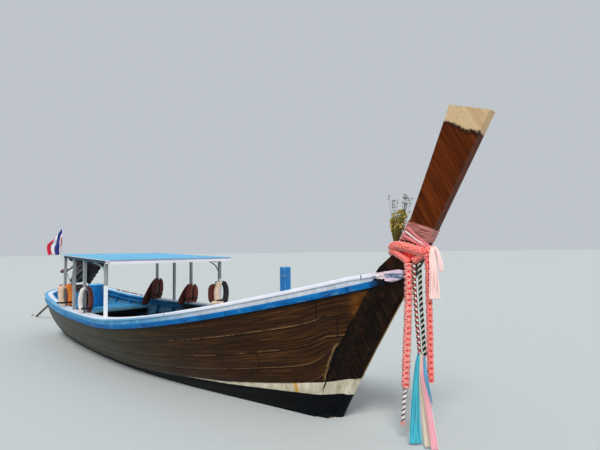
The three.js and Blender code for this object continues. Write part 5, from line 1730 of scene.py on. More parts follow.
def pillow(name, outline, place, thick, look, seed, grooves=(), slot=None, replaces=()):
    """A stuffed pad, drawn in at its seam and grooves; place turns (across, up, out) into a point."""
    rim = rounded_outline(outline)
    centre = sum(rim, Vector((0, 0))) / len(rim)
    shares = (1.0, 0.985, 0.95, 0.88, 0.76, 0.58, 0.36, 0.14)
    points, faces = [], []
    for front in (-1, 1):
        for share in shares:
            for p in rim:
                q = centre + (p - centre) * share
                depth = thick / 2 * max(0.0, 1 - share**3.4) ** 0.5
                for z in grooves:
                    depth *= 1 - 0.35 * math.exp(-(((q.y - z) / 0.012) ** 2))
                pucker = noise.noise(Vector((q.x * 22, q.y * 22, seed + front))) * 0.006
                lift = noise.noise(Vector((q.x * 6, q.y * 6, seed * 3.1))) * 0.012 * (1 - share)
                points.append(place(q.x, q.y, front * (0.003 + depth + pucker * (1 - share**8)) + lift))
        points.append(place(centre.x, centre.y, front * (0.003 + thick / 2)))
    n = len(rim)
    half = n * len(shares) + 1
    for side in (0, 1):
        base = side * half
        faces += grid_faces(len(shares), n, base, wrap=True)
        last = base + (len(shares) - 1) * n
        for j in range(n):
            faces.append((last + j, last + (j + 1) % n, base + half - 1))
    for j in range(n):
        k = (j + 1) % n
        faces.append((j, half + j, half + k, k))
    piece = add_mesh(name, points, faces, "hull", look, replaces=replaces, slot=slot)
    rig.padded(piece, 0.6)
    return piece


def belt(name, centre, half_x, half_y, z, wide, look, tilt=0.0):
    """Webbing that goes round a jacket; the buckle on its outer side is a piece of its own."""
    rings = []
    for a in around(44):
        c, s = math.cos(a), math.sin(a)
        x = centre[0] + half_x * abs(c) ** 0.6 * (1 if c > 0 else -1)
        y = centre[1] + half_y * abs(s) ** 0.6 * (1 if s > 0 else -1)
        out = Vector((c, s, 0)) * 0.0025
        mid = Vector((x, y, z + tilt * (x - centre[0])))
        up = Vector((0, 0, wide / 2))
        rings.append([mid - up, mid - up + out, mid + up + out, mid + up])
    points, faces = hoop(rings)
    return add_mesh(name, points, faces, "hull", look, slot="dark_cloth")


def buckle(name, at, look):
    """A side-release buckle: a body, two prongs and an end block, its edges eased."""
    x, y, z = at
    points, faces = [], []
    for (x0, x1, z0, z1, out) in (
        (-0.02, 0.012, -0.013, 0.013, 0.006), (0.012, 0.026, -0.010, -0.004, 0.004),
        (0.012, 0.026, 0.004, 0.010, 0.004), (0.024, 0.036, -0.013, 0.013, 0.006)
    ):
        ring = [(x + a, y + b * out, z + c) for a in (x0, x1) for b in (-1, 1) for c in (z0, z1)]
        base = len(points)
        points += ring
        faces += [
            tuple(base + i for i in f)
            for f in ((0, 1, 3, 2), (4, 6, 7, 5), (0, 4, 5, 1), (2, 3, 7, 6), (0, 2, 6, 4), (1, 5, 7, 3))
        ]
    piece = add_mesh(name, points, faces, "hull", look, smooth=False, slot="dark_cloth")
    bevel = piece.modifiers.new("eased", "BEVEL")
    bevel.width = 0.0015
    bevel.segments = 2
    return piece


def jacket_cloth(name, colour, binding):
    """Nylon shell: fine weave, soft creases and a fading over the fullest part."""
    look = Look(name, 0.7, sheen=0.2, specular=0.25)
    fade = look.noise(9.0, 5, 0.6)
    base = look.shade(colour, fade, 0.68, 1.2)
    grime = look.noise(22.0, 6, 0.7)
    base = look.mix(look.rise(grime, 0.52, 0.74) * 0.6, base, binding)
    x, _, z = look.parts(look.place)
    threads = look.sum("SINE", z * 900.0) * look.sum("SINE", x * 900.0)
    creases = look.noise(34.0, 4, 0.6, 0.6, stretch=(1.0, 1.0, 0.5))
    normal = look.bump(creases, 0.006, 0.55)
    return look.finish(base, look.bump(threads, 0.0004, 0.4, normal))


LOOKS["jacket_cream"] = jacket_cloth("jacket_cream", srgb(246, 214, 186), srgb(176, 120, 96))
LOOKS["jacket_white"] = jacket_cloth("jacket_white", srgb(240, 232, 226), srgb(186, 150, 134))
LOOKS["jacket_orange"] = jacket_cloth("jacket_orange", srgb(244, 138, 56), srgb(176, 72, 30))
# Dark red and dark brown: jacket cloth darkened as painted shade, for the jackets that hang in shade on the port side
LOOKS["jacket_red"] = jacket_cloth("jacket_dark_red", srgb(128, 62, 54), srgb(60, 26, 22))
LOOKS["jacket_brown"] = jacket_cloth("jacket_brown", srgb(96, 48, 40), srgb(44, 22, 18))
LOOKS["jacket_black"] = jacket_cloth("jacket_black", srgb(28, 24, 28), srgb(60, 52, 50))
LOOKS["webbing"] = woven("black_webbing", srgb(26, 26, 30), 1.3, 0.6, 700.0, stains=srgb(62, 58, 54))


def post_y(x):
    return gunwale(x) - 0.1


def arm(name, path, place, look, seed, slot):
    """A foam strip swept along a path of (across, up, half width, half thickness)."""
    line = spline(path, 40)
    rings = []
    for i, (o, z, wide, thick) in enumerate(line):
        s = i / (len(line) - 1)
        before, after = line[max(i - 1, 0)], line[min(i + 1, len(line) - 1)]
        ahead = Vector((after[0] - before[0], after[1] - before[1])).normalized()
        out = Vector((ahead.y, -ahead.x))
        end = min(1.0, s / 0.05, (1 - s) / 0.05)
        full = math.sqrt(max(0.02, 1 - (1 - end) ** 2))
        for groove in (0.34, 0.68):
            full *= 1 - 0.14 * math.exp(-(((s - groove) / 0.012) ** 2))
        ring = []
        for a in around(24):
            c, d = math.cos(a), math.sin(a)
            u = wide * (0.86 + 0.14 * full) * abs(c) ** 0.45 * (1 if c > 0 else -1)
            v = thick * full * abs(d) ** 0.6 * (1 if d > 0 else -1)
            pucker = 0.003 * noise.noise(Vector((u * 24 + seed, s * 12, seed * 1.7)))
            ring.append(place(o + (u + pucker) * out.x, z + (u + pucker) * out.y, v + pucker))
        rings.append(ring)
    points, faces = tube(rings)
    piece = add_mesh(name, points, faces, "hull", look, slot=slot)
    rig.padded(piece, 0.6)
    return piece


# Vests: the post, the side, the heights, the arms outboard and inboard of the post, and the panel behind it
VESTS = (
    {
        "node": "life_jacket_starboard_aft", "x": -2.426, "side": -1, "low": 0.885, "high": 1.345,
        "slot": "orange_cloth", "arms": ("jacket_cream", "jacket_orange"),
        "wide": (0.047, 0.074), "reach": (0.10, 0.118), "lean": 0.16,
        "panel": (
            "jacket_orange",
            ((-0.15, 0.90), (0.10, 0.90), (0.12, 1.18), (0.06, 1.335), (-0.11, 1.335), (-0.175, 1.2))
        ),
    },
    {
        "node": "life_jacket_starboard_front", "x": -1.047, "side": -1, "low": 0.885, "high": 1.385,
        "slot": "cream_cloth", "arms": ("jacket_white", "jacket_brown"),
        "wide": (0.034, 0.040), "reach": (0.098, 0.094), "lean": -0.04,
        "panel": (
            "jacket_brown",
            ((-0.10, 0.91), (0.04, 0.91), (0.05, 1.2), (0.03, 1.33), (-0.05, 1.33), (-0.11, 1.16))
        ),
    },
    {
        "node": "life_jacket_port_aft", "x": -2.426, "side": 1, "low": 0.885, "high": 1.365,
        "slot": "brown_red_cloth", "arms": ("jacket_brown", "jacket_brown"),
        "wide": (0.05, 0.066), "reach": (0.07, 0.10), "lean": 0.22,
        "panel": (
            "jacket_brown",
            (
                (-0.32, 0.75), (-0.17, 0.74), (-0.09, 0.90), (0.10, 0.905), (0.12, 1.16), (0.05, 1.35),
                (-0.07, 1.35), (-0.18, 1.16), (-0.28, 0.94)
            )
        ),
    },
    {
        "node": "life_jacket_port_middle", "x": -1.047, "side": 1, "low": 0.885, "high": 1.285,
        "slot": "brown_red_cloth", "arms": ("jacket_red", "jacket_red"),
        "wide": (0.058, 0.072), "reach": (0.08, 0.10), "lean": 0.12,
        "panel": (
            "jacket_red",
            (
                (-0.27, 0.85), (-0.14, 0.83), (-0.08, 0.905), (0.12, 0.905), (0.13, 1.12), (0.07, 1.265),
                (-0.06, 1.27), (-0.17, 1.12), (-0.25, 0.97)
            )
        ),
    },
    {
        "node": "life_jacket_port_front", "x": 0.006, "side": 1, "low": 0.915, "high": 1.39,
        "slot": "cream_cloth", "arms": ("jacket_black", "jacket_cream"),
        "wide": (0.06, 0.055), "reach": (0.115, 0.12), "lean": 0.05,
        "panel": (
            "jacket_red",
            ((-0.21, 0.93), (0.05, 0.93), (0.06, 1.15), (0.03, 1.32), (-0.16, 1.33), (-0.235, 1.24))
        ),
        "drape": (
            "jacket_cream", ((-0.24, 0.905), (0.045, 0.905), (0.05, 0.99), (-0.08, 1.01), (-0.25, 0.99))
        ),
    },
)


def vests():
    for seed, vest in enumerate(VESTS):
        x, side, low, high, slot = (vest[key] for key in ("x", "side", "low", "high", "slot"))
        middle = post_y(x)
        label = vest["node"].replace("life_jacket", "vest")

        def at(depth):
            def place(across, up, out):
                return x + depth + out, side * (middle + across - vest["lean"] * (1.12 - up) * 0.5), up
            return place

        look, outline = vest["panel"]
        pillow(
            f"{label}_panel", outline, at(-0.072), 0.075, LOOKS[look], seed * 7, (1.02, 1.18), slot,
            [vest["node"]]
        )
        arms = zip(("outer", "inner"), vest["arms"], (1, -1), vest["wide"], vest["reach"])
        for part, look, sign, wide, reach in arms:
            path = [
                (sign * reach * 0.62, low, wide * 0.9, 0.03),
                (sign * reach * 0.86, low + 0.09, wide, 0.034),
                (sign * reach, lerp(low, high, 0.5), wide, 0.034),
                (sign * reach * 0.72, high - 0.09, wide * 0.9, 0.03),
                (sign * reach * 0.15, high - 0.03 - 0.004 * sign, wide * 0.7, 0.024),
            ]
            arm(f"{label}_{part}", path, at(0.066 - 0.002 * sign), LOOKS[look], seed * 5 + sign, slot)
        if "drape" in vest:
            look, outline = vest["drape"]
            pillow(f"{label}_drape", outline, at(0.075), 0.06, LOOKS[look], seed * 11 + 3, (), slot)
        shift = vest["lean"] * (1.12 - low - 0.08) * 0.5
        y = side * (middle - 0.012 - shift)
        wide = (vest["wide"][0] + vest["wide"][1] + vest["reach"][0] + vest["reach"][1]) / 2 + 0.004
        belt(f"{label}_belt", (x - 0.002, y), 0.112, wide, low + 0.08, 0.03, LOOKS["webbing"], 0.05)
        buckle(f"{label}_buckle", (x + 0.108, y - side * 0.01, low + 0.085), LOOKS["rubber"])
        # Webbing over the post's sides, from the arms to the panel
        for number, across in enumerate((-0.052, 0.052)):
            corners = ((-0.016, 0), (0.016, 0), (0.016, 0.003), (-0.016, 0.003))
            rings = []
            for u in np.linspace(0, math.pi, 12):
                depth, up = 0.075 * math.cos(u), high - 0.055 + 0.045 * math.sin(u)
                rings.append([at(depth)(across + dy, up + dz, 0) for dy, dz in corners])
            points, faces = tube(rings)
            add_mesh(f"{label}_loop_{number + 1}", points, faces, "hull", LOOKS["webbing"], slot="dark_cloth")


vests()

# Curtain: rolled up under the starboard beam, with a loose end that hangs in folds


# The roof panel's top line, from its aft end to its front end, and the flag's staff beside it
ROOF_AFT_X, ROOF_LENGTH = -2.455, 2.775
ROOF_AFT_Z, ROOF_FRONT_Z = 1.964, 1.866
ROOF_SLOPE = (ROOF_FRONT_Z - ROOF_AFT_Z) / ROOF_LENGTH
STAFF_X, STAFF_Y = -2.44, -(lerp(1.085, 1.205, 0.015 / ROOF_LENGTH) + 0.0088)


def roof_top(x):
    return lerp(ROOF_AFT_Z, ROOF_FRONT_Z, (x - ROOF_AFT_X) / ROOF_LENGTH)


def below_roof(x, z):
    """How far a place in a material is below the roof's top line."""
    return x * ROOF_SLOPE + (ROOF_AFT_Z - ROOF_AFT_X * ROOF_SLOPE) - z


def curtain():
    columns, rows = 80, 90
    grid = []
    for j in range(rows):
        turn = j / (rows - 1) * 2.6 * 2 * math.pi
        radius = lerp(0.016, 0.036, j / (rows - 1))
        row = []
        for i in range(columns):
            x = lerp(-2.40, -0.25, i / (columns - 1))
            sag = 0.006 * math.sin(5 * x) + 0.004 * math.sin(13 * x + 1)
            slack = 1 + 0.08 * math.sin(9 * x + 0.7 * turn) + 0.05 * math.sin(23 * x)
            y = -(post_y(x) - 0.025 - 0.04 - 0.028)
            z = roof_top(x) - 0.0254 - 0.05 - 0.0404 + sag - 0.002
            a = turn + 0.4 * math.sin(3 * x)
            row.append((x, y + radius * slack * math.cos(a), z + radius * slack * math.sin(a)))
        grid.append(row)
    roll = cloth_sheet("curtain_roll", grid, 0.0014, LOOKS["curtain"], ["curtain"], "dark_cloth")
    declare_sheet(roll, grid, 2.62, 0.48, "folded", ["canopy_side_starboard"])
    # Ties round the roll
    for k, x in enumerate((-2.2, -1.45, -0.62, -0.3)):
        y = -(post_y(x) - 0.093)
        z = roof_top(x) - 0.118
        rings = []
        for a in around(20):
            py, pz = y + 0.041 * math.cos(a), z + 0.046 * math.sin(a)
            corners = ((-0.009, 1.0), (-0.009, 1.05), (0.009, 1.05), (0.009, 1.0))
            rings.append([(x + dx, lerp(y, py, grown), lerp(z, pz, grown)) for dx, grown in corners])
        points, faces = hoop(rings)
        add_mesh(f"curtain_tie_{k + 1}", points, faces, "hull", LOOKS["webbing"], slot="dark_cloth")
    # The loose end: pleats gathered towards its foot
    low = [
        (-1.27, 1.775), (-1.24, 1.59), (-1.13, 1.43), (-1.05, 1.40), (-0.96, 1.44), (-0.70, 1.60),
        (-0.48, 1.76)
    ]
    grid = []
    for v in np.linspace(0, 1, 40):
        row = []
        for u in np.linspace(0, 1, 90):
            foot_x, foot_z = (np.interp(u, np.linspace(0, 1, 7), values) for values in zip(*low))
            top_x = lerp(-1.30, -0.46, u)
            x = lerp(top_x, foot_x, v)
            top_z = roof_top(x) - 0.128
            z = lerp(top_z, min(foot_z, top_z - 0.01), v)
            swing = math.sin(30 * u * math.pi * (1 - 0.04 * v))
            pleat = (0.018 + 0.006 * math.sin(7 * u)) * swing * (0.4 + 0.6 * v)
            y = -(post_y(-0.9) - 0.093) + pleat + 0.008 * math.sin(4 * v)
            row.append((x, y, z))
        grid.append(row)
    end = cloth_sheet("curtain_end", grid, 0.0012, LOOKS["curtain"], slot="dark_cloth")
    declare_sheet(end, grid, 1.9, 0.42, "gathered", ["curtain_roll"])


def flag_look():
    """Five bands of bunting: red, white, blue, white, red."""
    look = Look("flag_bunting", 0.8, sheen=0.3, specular=0.2)
    across, down, _ = look.layer("Weave")
    turned = look.fall(across, 0.12, 0.62) * 0.38
    band = look.sum("PINGPONG", down + turned, 0.5)
    base = look.mix(look.rise(band, 0.163, 0.17), srgb(206, 32, 62), srgb(236, 236, 240))
    base = look.mix(look.rise(band, 0.330, 0.337), base, srgb(38, 44, 120))
    base = look.shade(base, look.noise(16.0, 5), 0.75, 1.15)
    threads = look.noise(500.0, 2)
    return look.finish(base, look.bump(threads, 0.0004, 0.5))


def flag():
    """The flag hangs limp from its hoist: the blue band falls beside the staff, the red one outside it."""
    across, spreads = (0, 0.2, 0.4, 0.52, 0.64, 0.8, 1.0), (0, 0.22, 0.44, 0.74, 1.0, 1.02, 0.9)
    grid = []
    for v in np.linspace(0, 1, 60):
        row = []
        hoist = lerp(2.50, 2.16, v)
        spread = 0.29 * (1 - v) ** 1.7 + 0.012
        for u in np.linspace(0, 1, 60):
            out = spread * float(np.interp(u, across, spreads))
            fold = (0.006 + 0.016 * u) * math.sin(4.4 * math.pi * v + 1.5 * u) * min(1.0, 5 * u)
            end = 1.945 + 0.035 * v + 0.012 * math.sin(9 * v)
            z = lerp(hoist, end, u**1.15)
            row.append((STAFF_X - 0.62 * out + fold, STAFF_Y - 0.0084 - 0.74 * out - 0.6 * fold, z))
        grid.append(row)
    piece = cloth_sheet("flag_cloth", grid, 0.001, LOOKS["flag"], ["flag"], "flag_red")
    declare_sheet(piece, grid, 0.34, 0.58, "hung", ["flag_staff"])


def knee_rods():
    for name, side in SIDES:
        start = Vector((-0.62, side * (post_y(-0.62) - 0.012), roof_top(-0.62) - 0.082))
        end = Vector((-0.021, side * (post_y(-0.02) - 0.012), 1.585))
        bow = Vector((0.05, 0, 0.05))
        line = spline([start, start.lerp(end, 0.4) + bow, start.lerp(end, 0.75) + bow, end], 24)
        points, faces, _ = rope_mesh(line, lambda s, a: 0.0125, 10)
        add_mesh(f"knee_rod_{name}", points, faces, "hull", LOOKS["pale_rod"], slot="grey_post")


LOOKS["pale_rod"] = painted("pale_rod_paint", srgb(140, 172, 172), scale=14.0)
knee_rods()
LOOKS["curtain"] = woven("dark_curtain", srgb(18, 17, 24), 1.4, 0.6, 500.0, 0.15, 0.85, srgb(44, 40, 46))
LOOKS["flag"] = flag_look()
curtain()
flag()

# Canopy and deck paint


def post_look():
    """Grey posts, the foremost ones white on their lower half; the beams under the roof blue darkened as painted
    shade, white forward of the front posts; chipped at their corners.
    """
    look = Look("post_paint", 0.5, specular=0.2)
    x, _, z = look.parts(look.place)
    streaks = look.noise(2.4, 5, 0.6, stretch=(14.0, 14.0, 0.6))
    grey = look.ramp(
        streaks, (0.3, srgb(112, 118, 122)), (0.5, srgb(150, 156, 158)), (0.68, srgb(196, 200, 200))
    )
    high = look.rise(z + streaks * 0.05, 1.452, 1.462)
    white = look.both(look.rise(x, -0.5, -0.4), 1.0 - high)
    base = look.mix(white, grey, srgb(244, 246, 250))
    # The beams under the roof: blue paint darkened to navy as painted shade; forward of the front posts, white paint
    beams = look.both(look.fall(below_roof(x, z), 0.074, 0.078), high)
    base = look.mix(beams, base, look.shade(srgb(30, 62, 88), streaks, 0.6, 1.3))
    base = look.mix(look.both(beams, look.rise(x, 0.028, 0.032)), base, srgb(236, 226, 232))
    chips = look.noise(60.0, 6, 0.75, 0.4)
    chipped = look.rise(chips, 0.64, 0.67)
    base = look.mix(chipped, base, srgb(96, 72, 54))
    return look.finish(base, look.bump(1.0 - chipped, 0.001, 0.6, look.bump(streaks, 0.001, 0.4)))


def roof_look():
    """Light blue panel: brush marks across it, a pinkish-grey edge, and rain streaks."""
    look = Look("roof_blue_paint", 0.45, specular=0.3)
    x, _, z = look.parts(look.place)
    faded = look.noise(3.0, 6, 0.6, stretch=(1.0, 0.4, 1.0))
    blue = look.ramp(
        faded, (0.3, srgb(104, 196, 238)), (0.55, srgb(88, 180, 224)), (0.8, srgb(120, 176, 200))
    )
    side_edge = look.mix(look.rise(x, 0.312, 0.316), srgb(206, 228, 238), srgb(168, 150, 172))
    base = look.mix(look.rise(below_roof(x, z), 0.007, 0.01), blue, side_edge)
    joint = look.fall(look.sum("PINGPONG", x + 0.61, 1.22), 0.002, 0.005)
    base = look.mix(joint * 0.6, base, srgb(60, 110, 140))
    chips = look.noise(24.0, 7, 0.72)
    base = look.mix(look.rise(chips, 0.68, 0.7), base, srgb(206, 214, 214))
    return look.finish(base, look.bump(look.noise(3.0, 4, stretch=(30.0, 1.0, 1.0)), 0.001, 0.4))


def aft_deck_look():
    """Blue deck boards with a painted highlight on the lit front edge; painted shade makes the front under the edge
    dark.
    """
    look = Look("aft_deck_paint", 0.5, specular=0.25)
    x, y, z = look.parts(look.place)
    streaks = look.noise(1.6, 6, 0.66, stretch=(0.7, 14.0, 6.0))
    base = look.ramp(
        streaks, (0.28, srgb(34, 118, 172)), (0.48, srgb(52, 146, 198)), (0.64, srgb(84, 176, 216)),
        (0.84, srgb(128, 190, 214))
    )
    seam = look.fall(look.sum("PINGPONG", y, 0.075), 0.0015, 0.004)
    base = look.mix(seam, base, srgb(10, 40, 64))
    # Painted highlight on the front edge, and painted shade under it
    front = look.rise(x, -2.752, -2.7505)
    base = look.mix(front, base, look.shade(srgb(150, 216, 240), streaks, 0.75, 1.1))
    base = look.mix(look.both(front, look.fall(z, 0.640, 0.648)), base, srgb(8, 12, 20))
    worn = look.rise(look.noise(16.0, 7, 0.75), 0.62, 0.68)
    base = look.mix(worn * 0.6, base, srgb(96, 92, 84))
    return look.finish(base, look.bump(1.0 - seam, 0.002, 0.8, look.bump(streaks, 0.001, 0.4)))


def frames_look():
    """Ribs and inwale: timber darkened with painted shade for the inside of the hull, the inwale painted blue towards
    the stern.
    """
    look = Look("frame_timber", 0.6, specular=0.15)
    x, _, _ = look.parts(look.place)
    grain = look.noise(1.6, 7, 0.62, 0.3, stretch=(2.0, 16.0, 16.0))
    # Near-black timber: painted shade inside the hull
    wood = look.ramp(grain, (0.3, srgb(20, 16, 18)), (0.5, srgb(44, 34, 30)), (0.72, srgb(82, 62, 48)))
    blue = look.shade(srgb(40, 126, 180), grain, 0.6, 1.2)
    aft = look.fall(x + grain * 0.6, -1.3, -0.9)
    base = look.mix(aft, wood, blue)
    return look.finish(base, look.bump(grain, 0.002, 0.5))


def drum_look():
    """Blue plastic: scuffed ribs, a painted highlight along the top edge and grime run down from it."""
    look = Look("drum_plastic", 0.4, specular=0.35)
    _, _, z = look.parts(look.place)
    scuffs = look.noise(26.0, 6, 0.7, stretch=(1.0, 1.0, 0.3))
    base = look.ramp(scuffs, (0.35, srgb(14, 124, 192)), (0.6, srgb(6, 98, 166)), (0.8, srgb(30, 104, 156)))
    # Painted highlight along the top edge
    base = look.mix(
        look.both(look.rise(z, 1.205, 1.215), look.rise(scuffs, 0.3, 0.5)), base, srgb(96, 190, 236)
    )
    grime = look.rise(look.noise(40.0, 6, 0.7, stretch=(1.0, 1.0, 0.12)), 0.6, 0.75)
    base = look.mix(grime * 0.5, base, srgb(40, 50, 60))
    return look.finish(base, look.bump(scuffs, 0.0008, 0.5))


LOOKS["post"] = post_look()
LOOKS["roof"] = roof_look()
LOOKS["aft_deck"] = aft_deck_look()
LOOKS["frames"] = frames_look()
LOOKS["drum"] = drum_look()
LOOKS["fascia"] = painted(
    "fascia_white", srgb(250, 250, 255), srgb(190, 180, 186), srgb(180, 160, 150), 0.4, 0.68, 5.0
)

# Small parts: bolts, bands, pipes and covers, made from turned forms


def one_mesh(parts):
    """Several closed forms as one list of points and one of faces."""
    points, faces = [], []
    for form_points, form_faces in parts:
        base = len(points)
        points += [tuple(p) for p in form_points]
        faces += [tuple(base + i for i in face) for face in form_faces]
    return points, faces


def turned(centre, along, profile, sides=20, six=False, ripple=0.0):
    """A turned form: (radius, run) pairs along a direction; six makes it a hexagon, ripple gives it ribs."""
    centre, along = Vector(centre), Vector(along).normalized()
    across = along.orthogonal().normalized()
    other = along.cross(across)
    rings = []
    for radius, run in profile:
        ring = []
        for k, a in enumerate(around(sides)):
            r = radius
            if six:
                r *= math.cos(math.pi / 6) / math.cos(a % (math.pi / 3) - math.pi / 6)
            r -= ripple * (k % 2)
            ring.append(centre + along * run + (across * math.cos(a) + other * math.sin(a)) * r)
        rings.append(ring)
    return tube(rings)


def bolt(centre, facing, size):
    """A hexagon head on its washer."""
    washer = turned(centre, facing, [(size * 1.3, -0.002), (size * 1.3, size * 0.2), (size, size * 0.25)])
    head = turned(centre, facing, [(size, size * 0.1), (size, size * 0.85), (size * 0.85, size)], 12, True)
    return [washer, head]


def bolts(name, body, places):
    parts = [form for centre, facing, size in places for form in bolt(centre, facing, size)]
    points, faces = one_mesh(parts)
    return add_mesh(name, points, faces, body, LOOKS["bolt"], False, slot="steel")


def turned_piece(name, body, forms, look, slot, smooth_faces=True):
    """One piece from turned forms, given as lists of turned()'s arguments."""
    points, faces = one_mesh([turned(*form) for form in forms])
    piece = add_mesh(name, points, faces, body, LOOKS[look], smooth_faces, slot=slot)
    if smooth_faces:
        sharpen(piece, 40)
    return piece


LOOKS["bolt"] = metal(
    "worn_bolts", srgb(128, 126, 120), amount=0.6, roughness=0.35, metallic=0.85, scale=60.0
)
LOOKS["filter_paint"] = painted(
    "filter_paint", srgb(168, 66, 30), srgb(40, 34, 30), srgb(120, 120, 118), 0.4, 0.64, 20.0
)
LOOKS["pleats"] = woven("filter_pleats", srgb(150, 128, 84), 1.1, 0.6, 300.0, 0.0, 0.9, srgb(70, 56, 40))
LOOKS["copper"] = metal("fuel_pipe", srgb(150, 104, 70), srgb(60, 58, 50), 0.58, 0.35, 0.85, 60.0)
LOOKS["grip"] = woven("rubber_grip", srgb(20, 20, 22), 1.3, 0.6, 300.0, 0.0, 0.8, srgb(60, 56, 50))


# The yoke's trunnions, and how far the engine is turned about them
TRUNNION_X, TRUNNION_Z = -4.65, 1.36
TILT = math.radians(20)


def on_engine(x, y, z):
    """The place in the boat of a point that is given in the engine's own frame."""
    forward, up = math.cos(TILT), math.sin(TILT)
    return Vector((TRUNNION_X + x * forward - z * up, y, TRUNNION_Z + x * up + z * forward))


def engine_way(x, y, z):
    return on_engine(x, y, z) - on_engine(0, 0, 0)


CYLINDERS = (0.07, 0.21, 0.35, 0.49)
FORWARD, OUT, UP = (1, 0, 0), (0, 1, 0), (0, 0, 1)


def engine_turned(name, look, slot, way, places, profile, *more, smooth_faces=True):
    """One piece of equal turned forms on the engine; more goes to turned() for each of them."""
    along = engine_way(*way)
    forms = [(on_engine(*place), along, profile, *more) for place in places]
    turned_piece(name, "engine", forms, look, slot, smooth_faces)


def pipe(name, routes, radius, look, slot, sides=10):
    """Bent metal pipes of one radius on the engine, as one piece."""
    forms = []
    for route in routes:
        line = spline([on_engine(*place) for place in route], 8 * len(route))
        points, faces, _ = rope_mesh(line, lambda s, a: radius, sides)
        forms.append((points, faces))
    points, faces = one_mesh(forms)
    return add_mesh(name, points, faces, "engine", LOOKS[look], slot=slot)


def engine_bolts():
    up, forward = engine_way(*UP), engine_way(*FORWARD)
    spots = []
    for side in (1, -1):
        out = Vector((0, side, 0))
        spots += [
            (on_engine(x, side * 0.084, 0.292), up, 0.008) for x in (-0.02, 0.098, 0.216, 0.334, 0.452, 0.57)
        ]
        spots += [(on_engine(x, side * 0.084, -0.07), out, 0.006) for x in np.linspace(0, 0.56, 8)]
        spots += [(on_engine(x, side * 0.122, 0.052), up, 0.009) for x in (0.075, 0.105, 0.485, 0.515)]
        spots += [(on_engine(x, side * 0.118, 0.03), up, 0.008) for x in (-0.27, 0.68)]
        spots.append((on_engine(0, side * 0.172, 0), out, 0.018))
        spots += [(on_engine(0.722, side * 0.032, z), forward, 0.006) for z in (-0.018, 0.018)]
        spots += [
            (on_engine(-0.05, side * y, z), -forward, 0.008)
            for y, z in ((0.088, 0.06), (0.07, 0.175), (0.03, 0.19))
        ]
    for x in CYLINDERS:
        for dx in (-0.022, 0.022):
            spots.append((on_engine(x + dx, -0.1045, 0.25), Vector((0, -1, 0)), 0.005))
            spots.append((on_engine(x + dx, 0.1045, 0.25), Vector((0, 1, 0)), 0.005))
    spots += [
        (on_engine(x, -0.146, z), Vector((0, -1, 0)), 0.005) for x in (0.342, 0.448) for z in (0.108, 0.138)
    ]
    bolts("engine_bolts", "engine", spots)


